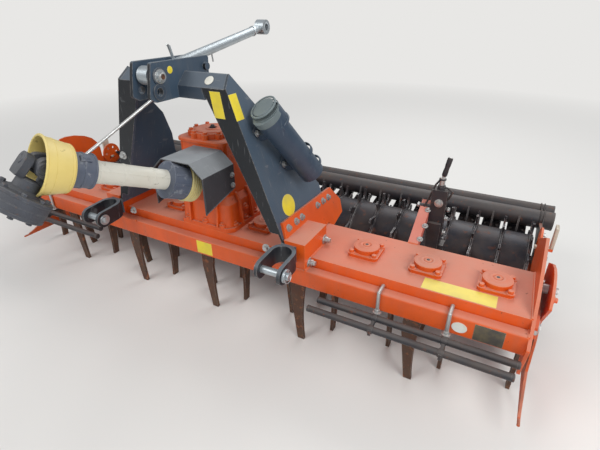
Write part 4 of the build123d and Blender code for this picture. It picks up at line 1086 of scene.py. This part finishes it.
class HARROW_OT_clutch_fittings(bpy.types.Operator):
    """Bolt the clutch and cap the crosses of the drive shaft's joints"""

    bl_idname = "harrow.clutch_fittings"
    bl_label = "Clutch and joints"

    def execute(self, context):
        yoke, drum, steel, bolts = blanks(4)
        turned(yoke, shaft_place(421), ((0, 0), (38, 0), (44, 4), (44, 18), (40, 25), (0, 25)), 40)
        self.fork(yoke, shaft_place(CLUTCH_START), 0)
        piece = make_piece("outer_yoke", yoke, "Cast iron")
        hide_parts("drive_outer_yoke")
        body = ((0, 0), (80, 0), (87, 3), (87, 59), (80, 62), (18, 62), (17.5, 58), (17.5, 4), (0, 4))
        turned(drum, clutch_place(87), body, 56)
        turned(drum, clutch_place(46), ((0, 0), (30, 0), (34, 4), (34, 41), (0, 41)), 36)
        self.fork(drum, flipped(clutch_place(0)), math.pi / 2)
        piece = make_piece("clutch_drum", drum, "Cast iron")
        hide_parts("drive_clutch")
        for distance in (93, 143):
            turned(steel, clutch_place(distance), banded(80, 86, 88.6, 6, 4), 48)
        turned(steel, clutch_place(118), ((84, -3), (87.6, -1.6), (87.6, 1.6), (84, 3), (84, -3)), 48)
        for angle in angles(8, 0.25):
            hex_bolt(bolts, around(clutch_place(149), angle, 70), 14, False)
            hex_bolt(bolts, flipped(around(clutch_place(87), angle, 70)), 14, False)
        hub = ((18, -2), (18, 5), (31, 5), (35, 2), (48, 2), (52, -2), (18, -2))
        turned(steel, clutch_place(149), hub, 40)
        turned(steel, clutch_place(80), ((32, -5), (40, -2), (46, 5), (46, 8), (32, 8), (32, -5)), 36)
        make_piece("clutch_rings", steel, "Cast iron")
        make_piece("clutch_bolts", bolts, "Cast iron")
        return {"FINISHED"}

    def fork(self, bm, place, spin):
        """Two rounded ears with the arm of the cross between them, z away from the hub."""
        on_edge = Matrix(((0, 0, 1), (1, 0, 0), (0, 1, 0))).to_4x4()
        corner = [math.pi / 2 * step / 6 for step in range(7)]
        crown = [(7 + 24 * math.cos(a), -5 + 24 * math.sin(a)) for a in corner]
        mirrored = [(-x, y) for x, y in reversed(crown)]
        outline = [(-26, -50), (26, -50), (31, -40), *crown, *mirrored, (-31, -40)]
        for side in (1, -1):
            cut_plate(bm, around(place, spin, side * 36 - 12) @ on_edge, outline, 24, 2.5)
            outer = place @ Matrix.Rotation(spin, 4, "Z") @ Matrix.Rotation(side * math.pi / 2, 4, "Y")
            cap = ((0, 1), (8, 1), (10, 3), (16, 3), (19, 0), (19, -3), (0, -3))
            turned(bm, raised(outer, 48), cap, 24)
            turned(bm, outer, ((0, 0), (15, 0), (15, 26), (0, 26)), 24)


class HARROW_OT_canister_fittings(bpy.types.Operator):
    """Fit the sleeve, lid grip, clamps and bolts of the document canister"""

    bl_idname = "harrow.canister_fittings"
    bl_label = "Canister fittings"

    def execute(self, context):
        lid, body, clamps, bolts = blanks(4)
        turned(lid, canister_place(303), ((48, -2), (50.9, -1.2), (50.9, 1.2), (48, 2), (48, -2)), 44)
        top = canister_place(321)
        turned(lid, top, ((43, -2), (43, 0.5), (45, 1.4), (48.4, 1.2), (50.2, -1), (50.2, -4), (43, -2)), 44)
        turned(lid, top, ((0, 0.6), (38, 0.6), (40, -1), (0, -1)), 40)
        sleeve = ((46, -28), (49.2, -28), (49.8, -26), (49.8, 26), (46, 28), (46, -28))
        turned(body, canister_place(268), sleeve, 44)
        turned(body, canister_place(241), banded(46, 51, 52.4, 5, 3), 44)
        bottom = ((44, -4), (48, -3.4), (49.6, 0), (49.6, 6), (47, 8), (44, 8), (44, -4))
        turned(body, canister_place(4), bottom, 44)
        for distance in (77, 250):
            turned(body, canister_place(distance), banded(46, 49, 49.6, 8, 6), 44)
        slab(body, around(canister_place(241), -0.9, 53), (7, 26, 20), 2)
        slab(body, around(canister_place(297), math.pi - 0.5, 50, -6), (6, 24, 14), 2)
        run = CANISTER_HIGH - CANISTER_LOW
        for share in (0.24, 0.78):
            foot = framed(CANISTER_LOW + run * share - ARM_OUT * 70 * MM, run, ARM_OUT)
            slab(clamps, raised(foot, 3), (40, 92, 6), 2)
            for step in (-38, 38):
                hex_bolt(bolts, raised(foot, 6) @ Matrix.Translation((0, step * MM, 0)), 13)
        make_piece("canister_lid_grip", lid, "Canister cap", "canister_lid")
        make_piece("canister_trim", body, "Canister plastic")
        make_piece("canister_feet", clamps, "Black paint")
        make_piece("canister_bolts", bolts, "Zinc")
        return {"FINISHED"}


class HARROW_OT_levelling_fittings(bpy.types.Operator):
    """Fit the levelling guides with caps, bolts, grips and straps"""

    bl_idname = "harrow.levelling_fittings"
    bl_label = "Levelling gear"

    def execute(self, context):
        caps, bolts, dark = blanks(3)
        shaft = ((0, 0), (9, 0), (10.4, 4), (10.4, 20), (9.2, 32), (10.4, 46), (10.4, 72), (8, 78), (0, 78))
        strap = ((873, 652), (858, 628), (838, 560), (827, 530), (814, 470), (799, 429))
        hook = ((886, 622), (907, 617), (925, 604), (916, 576), (899, 552))
        for side in (1, -1):
            for x, way in ((924, 1), (798, -1)):
                end = sideways(side, x, GUIDE_Y, 526, way=way)
                turned(caps, end, ((0, 3), (7, 3), (10, 1), (10.6, -6), (9, -8), (0, -8)), 24)
            hex_bolt(bolts, forwards(side * (GUIDE_X + 2), 285, 556, 0.3), 19)
            for x, y, z in ((851, 167, 441), (854, 220, 476), (845, 284, 517)):
                hex_bolt(bolts, facing(spot(side * x, y, z), (0, -0.45, 0.9), 0.5), 13)
            for z, radius, height, corners, ease in (
                (610, 17, 14, 6, 1.6), (624, 14.5, 5, 24, 1.2), (650, 14, 6, 24, 1.4)
            ):
                puck(dark, upwards(side * GUIDE_X, GUIDE_Y, z), radius, height, corners, ease)
            grip = facing(spot(side * (GUIDE_X + 2.6), GUIDE_Y, 667), (side * 0.171, 0, 0.985))
            turned(dark, grip, shaft, 20)
            bent_rod(dark, [spot(side * x, GUIDE_Y - 7, z) for x, z in strap], 4, 8)
            bent_rod(dark, [spot(side * x, GUIDE_Y, z) for x, z in hook], 4, 8)
            for z in (352, 420, 486):
                hex_bolt(bolts, sideways(side, 912, GUIDE_Y, z, 0.2), 15)
        make_piece("levelling_caps", caps, "Zinc")
        make_piece("levelling_bolts", bolts, "Zinc")
        make_piece("levelling_grips", dark, "Dark steel")
        return {"FINISHED"}


class HARROW_OT_roller_welds(bpy.types.Operator):
    """Weld the toothed rings to the drum and bolt its ends"""

    bl_idname = "harrow.roller_welds"
    bl_label = "Roller welds"

    def execute(self, context):
        welds, ends = blanks(2)
        fillet = ((146, 0), (153, 0), (150.5, 2.6), (147.2, 6), (146, 6), (146, 0))
        disc = ((62, -1), (62, 3), (118, 3), (128, 0.6), (140, 0.6), (140, -1), (62, -1))
        for index in range(RING_COUNT):
            centre = (index - (RING_COUNT - 1) / 2) * RING_PITCH
            for side in (1, -1):
                place = facing(spot(centre + side * 4, ROLLER_Y, ROLLER_Z), (side, 0, 0))
                turned(welds, place, fillet, 30)
        for side in (1, -1):
            turned(ends, sideways(side, ROLLER_HALF, ROLLER_Y, ROLLER_Z), disc, 48)
            for angle in angles(6):
                y, z = ROLLER_Y + 88 * math.cos(angle), ROLLER_Z + 88 * math.sin(angle)
                hex_bolt(ends, sideways(side, ROLLER_HALF + 3, y, z, angle), 14, False)
        make_piece("roller_weld_rings", welds, "Roller steel", "roller")
        make_piece("roller_end_discs", ends, "Roller steel", "roller")
        return {"FINISHED"}


class HARROW_OT_roller_frame_fittings(bpy.types.Operator):
    """Fit bearing caps, bolts, welds and plates to the roller's frame"""

    bl_idname = "harrow.roller_frame_fittings"
    bl_label = "Roller frame fittings"

    def execute(self, context):
        caps, bolts, beads, pale, stays, screws = blanks(6)
        cap = ((0, 17), (20, 17), (30, 14), (34, 10), (54, 10), (60, 7), (62, 0), (62, -1), (0, -1))
        for side in (1, -1):
            turned(caps, sideways(side, 1291, ROLLER_Y, ROLLER_Z), cap, 40)
            for angle in angles(4, 0.5):
                y, z = ROLLER_Y + 46 * math.cos(angle), ROLLER_Z + 46 * math.sin(angle)
                hex_bolt(bolts, sideways(side, 1301, y, z, angle), 14)
            puck(bolts, sideways(side, 1308, ROLLER_Y, ROLLER_Z), 4.5, 7, 12, 1.2)
            for y, z, tube in ((760, 360, 43), (850, 370, 30)):
                fillet = ((-1, 0), (6, 0), (3.4, 3.6), (-1, 5), (-1, 0))
                for x, way in ((1291, 1), (1279, -1)):
                    place = sideways(side, x, y, z, way=way)
                    turned(beads, place, [(tube + out, height) for out, height in fillet], 40)
                lip = ((-2, -5), (1, -4), (1, 2), (-2, 3.5), (-2, -5))
                place = sideways(side, 1332, y, z)
                turned(beads, place, [(tube + out, height) for out, height in lip], 40)
            hex_bolt(bolts, sideways(side, 1279, 445, 434, 0.4), 15)
            slab(pale, level(side * 1310, 441, 384), (37, 21, 2), 0.6)
            slab(pale, level(side * 1323.5, 452, 431.5), (11.8, 45, 94), 1.4)
            slab(pale, level(side * 1270.5, 441, 377.5), (17, 21, 11), 1.4)
        outline = ((728, 385), (716, 372), (700, 300), (694, 284), (712, 284), (740, 320))
        for index in range(RING_COUNT - 1):
            centre = (index - (RING_COUNT - 2) / 2) * RING_PITCH
            cut_plate(stays, upright(centre - 4), outline, 8)
            for step in (-26, 26):
                place = facing(spot(centre + step, 742, 291), (0, -0.17, 0.985), index)
                hex_bolt(screws, place, 12, False)
        make_piece("bearing_caps", caps, "Roller arm paint", "roller_frame")
        make_piece("roller_frame_bolts", bolts, "Zinc", "roller_frame")
        make_piece("roller_frame_beads", beads, "Dark steel", "roller_frame")
        make_piece("depth_tabs", pale, "Dull zinc", "roller_frame")
        make_piece("scraper_stays", stays, "Dark steel", "roller_frame")
        make_piece("scraper_screws", screws, "Dark steel", "roller_frame")
        return {"FINISHED"}


class HARROW_OT_tine_bolts(bpy.types.Operator):
    """Bolt the tines to their holders and close each hub with a nut"""

    bl_idname = "harrow.tine_bolts"
    bl_label = "Tine bolts"

    def execute(self, context):
        for index, rotor in enumerate(ROTORS):
            x = (index - (ROTOR_COUNT - 1) / 2) * ROTOR_PITCH
            turn = Matrix.Rotation(math.pi / 2 if index % 2 else 0, 4, "Z")
            centre = Matrix.Translation(spot(x, 0, 0)) @ turn
            bolts = bmesh.new()
            for side in (1, -1):
                for across in (-20, 20):
                    place = facing(Vector((side * 130, across, 286)) * MM, (side, 0, 0), across)
                    hex_bolt(bolts, centre @ place, 13, False)
            under = centre @ facing(Vector((0, 0, 258)) * MM, (0, 0, -1))
            turned(bolts, under, ((0, 4), (26, 4), (34, 1), (36, -2), (0, -2)), 28)
            puck(bolts, raised(under, 4), 21, 12, 6, 2)
            make_piece(f"{rotor}_bolts", bolts, "Tine steel", rotor)
        return {"FINISHED"}


class HARROW_OT_beam_fittings(bpy.types.Operator):
    """Put nuts, washers and end caps on the U-bolts and guard bars"""

    bl_idname = "harrow.beam_fittings"
    bl_label = "Beam fittings"

    def execute(self, context):
        nuts, ends = blanks(2)
        clamp = ((11, 0), (14, 0), (15, 2), (15, 16), (14, 18), (11, 18), (11, 0))
        for side, inset in ((1, 458), (1, 225), (-1, 289), (-1, 56)):
            x = side * (TROUGH_HALF - inset)
            hex_bolt(nuts, upwards(x, -189.5, 321, x), 17)
            for y, z in ((-211, 309), (-252, 292)):
                turned(ends, facing(spot(x - 9, y, z), (1, 0, 0)), clamp, 24)
        for side in (1, -1):
            for y, z, inner, outer in ((-211, 309, 589, 1260), (-252, 292, 567, 1250)):
                for x, way in ((inner, -1), (outer, 1)):
                    place = sideways(side, x, y, z, way=way)
                    turned(ends, place, ((0, 2.6), (9, 2.6), (12.6, 0.6), (12.6, -8), (0, -8)), 24)
        make_piece("u_bolt_nuts", nuts, "Zinc")
        make_piece("guard_bar_ends", ends, "Dark steel")
        return {"FINISHED"}


class HARROW_OT_side_fittings(bpy.types.Operator):
    """Finish the end plates and the side deflectors"""

    bl_idname = "harrow.side_fittings"
    bl_label = "Side fittings"

    def execute(self, context):
        steel = bmesh.new()
        for side in (1, -1):
            hex_bolt(steel, sideways(side, 1319, 47, 434, 0.5), 20, False)
            turned(steel, sideways(side, 1296, 322, 402.3), crowned(9.6, 13, 14, 3), 24)
            for y, z in ((-150, 396), (20, 474), (120, 505)):
                hex_bolt(steel, sideways(side, 1274, y, z, y), 13, False)
            puck(steel, sideways(side, 1296, -60, 352, 0.4), 13, 4, 6, 1)
        make_piece("side_bolts", steel, "Zinc")
        for side, name in ((1, "deflector_right"), (-1, "deflector_left")):
            edge = bmesh.new()
            for y, z in ((-50, 462), (186, 436)):
                hex_bolt(edge, sideways(side, 1310, y, z, z), 15)
            bent_rod(edge, [spot(side * 1306, y, z) for y, z in ((-226, 82), (0, 84), (224, 86))], 5)
            make_piece(f"{name}_trim", edge, "Orange paint", name)
        return {"FINISHED"}


class HARROW_OT_welds(bpy.types.Operator):
    """Lay weld beads where plates and tubes meet"""

    bl_idname = "harrow.welds"
    bl_label = "Weld beads"

    def execute(self, context):
        orange, black, hooks = blanks(3)
        orange_runs = (
            ((1263, -132, 428), (1263, 143, 428)),
            ((1263, -181, 394), (1263, -142, 394)),
            ((518, -136, 428.5), (518, -1, 428.5)),
            ((519, -183, 397), (519, -142, 397)),
            ((452, 0, 428.5), (517, 0, 428.5)),
            ((811, 146, 428), (849, 146, 428)),
            ((456, 146, 427), (456, 146, 402)),
            ((354, -184, 397), (518, -184, 397)),
        )
        black_runs = (
            ((424, -183.5, 423), (424, -183.5, 491)),
            ((480, -183.5, 423), (480, -183.5, 491)),
        )
        for bm, runs in ((orange, orange_runs), (black, black_runs)):
            for side in (1, -1):
                for run in runs:
                    self.lay(bm, *[spot(side * x, y, z) for x, y, z in run])
        hex_bolt(hooks, facing(spot(-331, -192, 715), (0, -1, -0.05), 0.3), 19)
        make_piece("orange_beads", orange, "Orange paint")
        make_piece("black_beads", black, "Black paint")
        make_piece("arm_hook_bolt", hooks, "Zinc")
        return {"FINISHED"}

    def lay(self, bm, start, end):
        """A rippled bead along a straight run."""
        ripple, swell = 5, 0.86
        count = max(2, round((end - start).length / (ripple * MM)))
        first = edges = start_rod(bm, start, end - start, sizes().weld_bead / MM, 8)
        for index in range(count):
            here, following = [start.lerp(end, step / count) for step in (index, index + 1)]
            verts, edges = grow_rod(bm, edges)
            bmesh.ops.translate(bm, verts=verts, vec=following - here)
            share = swell if index % 2 else 1 / swell
            around_point = Matrix.Translation(-following)
            bmesh.ops.scale(bm, verts=verts, vec=(share, share, share), space=around_point)
        close_rod(bm, first, edges)


class HARROW_OT_stage(bpy.types.Operator):
    """Set up the floor, the soft light and the camera"""

    bl_idname = "harrow.stage"
    bl_label = "Stage"

    def execute(self, context):
        context.scene.view_settings.view_transform = "Standard"
        self.lay_floor(context.scene)
        self.light_world(context.scene)
        self.hang_lamps(context.scene)
        self.place_camera(context.scene)
        return {"FINISHED"}

    def lay_floor(self, scene):
        """A pale floor that fades into the pale surroundings."""
        bm = bmesh.new()
        bmesh.ops.create_circle(bm, cap_ends=True, segments=96, radius=FLOOR_RADIUS)
        mesh = bpy.data.meshes.new("floor")
        bm.to_mesh(mesh)
        bm.free()
        floor = bpy.data.objects.new("floor", mesh)
        scene.collection.objects.link(floor)
        finish = bpy.data.materials.new("Pale floor")
        finish.use_nodes = True
        tree = finish.node_tree
        shader = tree.nodes["Principled BSDF"]
        shader.inputs["Base Color"].default_value = (*colours().floor_pale, 1.0)
        shader.inputs["Roughness"].default_value = 0.9
        far = put(tree, "VectorMath", {0: surface(tree)}, operation="LENGTH").outputs["Value"]
        seen = put(tree, "LightPath").outputs["Is Camera Ray"]
        share = times(tree, span(tree, far, FADE_START, FADE_END), seen)
        glow = put(tree, "Emission", {"Color": (*PALE, 1.0), "Strength": 1.0}).outputs[0]
        mixed = put(tree, "MixShader", {0: share, 1: shader.outputs[0], 2: glow}).outputs[0]
        tree.links.new(mixed, tree.nodes["Material Output"].inputs["Surface"])
        mesh.materials.append(finish)

    def light_world(self, scene):
        """Soft light from all round, behind a plain pale view."""
        world = bpy.data.worlds.new("Studio")
        world.use_nodes = True
        scene.world = world
        tree = world.node_tree
        soft = tree.nodes["Background"]
        soft.inputs["Color"].default_value = (*SKY_COLOUR, 1.0)
        soft.inputs["Strength"].default_value = SKY_STRENGTH
        seen = put(tree, "Background", {"Color": (*PALE, 1.0), "Strength": 1.0})
        rays = put(tree, "LightPath").outputs
        clear = maths(tree, "MAXIMUM", rays["Is Camera Ray"], rays["Is Transmission Ray"])
        mixed = put(tree, "MixShader", {0: clear, 1: soft.outputs[0], 2: seen.outputs[0]})
        tree.links.new(mixed.outputs[0], tree.nodes["World Output"].inputs["Surface"])

    def hang_lamps(self, scene):
        """Three wide soft lamps that look at the machine."""
        for name, position, diameter, share in LAMPS:
            lamp = bpy.data.lights.new(name, "AREA")
            lamp.shape = "DISK"
            lamp.size = diameter
            lamp.energy = sizes().lamp_power * share
            hung = bpy.data.objects.new(name, lamp)
            scene.collection.objects.link(hung)
            hung.location = position
            hung.rotation_euler = (LAMP_AIM - hung.location).to_track_quat("-Z", "Y").to_euler()

    def place_camera(self, scene):
        """The camera that took the photograph."""
        right = Vector((math.cos(CAMERA_YAW), math.sin(CAMERA_YAW), 0))
        flat = Vector((-math.sin(CAMERA_YAW), math.cos(CAMERA_YAW), 0))
        ahead = flat * math.cos(CAMERA_PITCH) - Vector((0, 0, math.sin(CAMERA_PITCH)))
        up = right.cross(ahead)
        rolled_right = right * math.cos(CAMERA_ROLL) + up * math.sin(CAMERA_ROLL)
        rolled_up = up * math.cos(CAMERA_ROLL) - right * math.sin(CAMERA_ROLL)
        data = bpy.data.cameras.new("camera")
        data.sensor_width = SENSOR_WIDTH
        data.sensor_fit = "HORIZONTAL"
        data.lens = SENSOR_WIDTH * CAMERA_FOCAL / PICTURE_WIDTH
        data.clip_end = 200
        camera = bpy.data.objects.new("camera", data)
        scene.collection.objects.link(camera)
        turn = Matrix((rolled_right, rolled_up, -ahead)).transposed().to_4x4()
        camera.matrix_world = Matrix.Translation(spot(*CAMERA_PLACE)) @ turn
        scene.camera = camera


class HARROW_PT_panel(bpy.types.Panel):
    """Lists the machine's pieces and settings"""

    bl_label = "Power harrow"
    bl_idname = "HARROW_PT_panel"
    bl_space_type = "VIEW_3D"
    bl_region_type = "UI"
    bl_category = "Harrow"

    def draw(self, context):
        layout = self.layout
        for step in STEPS:
            layout.operator(step.bl_idname, text=step.bl_label)
        for group in (context.scene.harrow_colours, context.scene.harrow_sizes):
            box = layout.box()
            for name in group.__annotations__:
                box.prop(group, name)


STEPS = (
    HARROW_OT_stage,
    HARROW_OT_finishes,
    HARROW_OT_cover_bolts,
    HARROW_OT_foot_bolts,
    HARROW_OT_plates,
    HARROW_OT_link_fittings,
    HARROW_OT_lower_pins,
    HARROW_OT_gearbox_fittings,
    HARROW_OT_shield_trim,
    HARROW_OT_guard_fittings,
    HARROW_OT_clutch_fittings,
    HARROW_OT_canister_fittings,
    HARROW_OT_levelling_fittings,
    HARROW_OT_roller_welds,
    HARROW_OT_roller_frame_fittings,
    HARROW_OT_tine_bolts,
    HARROW_OT_beam_fittings,
    HARROW_OT_side_fittings,
    HARROW_OT_welds,
)
CLASSES = (HarrowColours, HarrowSizes, *STEPS, HARROW_PT_panel)


def register():
    """Adds the operators, the panel and the settings to Blender."""
    for entry in CLASSES:
        bpy.utils.register_class(entry)
    bpy.types.Scene.harrow_colours = PointerProperty(type=HarrowColours)
    bpy.types.Scene.harrow_sizes = PointerProperty(type=HarrowSizes)


def unregister():
    """Takes them away again."""
    del bpy.types.Scene.harrow_sizes
    del bpy.types.Scene.harrow_colours
    for entry in reversed(CLASSES):
        bpy.utils.unregister_class(entry)


def main():
    """Registers the add-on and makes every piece."""
    register()
    for step in STEPS:
        family, name = step.bl_idname.split(".")
        getattr(getattr(bpy.ops, family), name)()


if __name__ == "__main__":
    main()
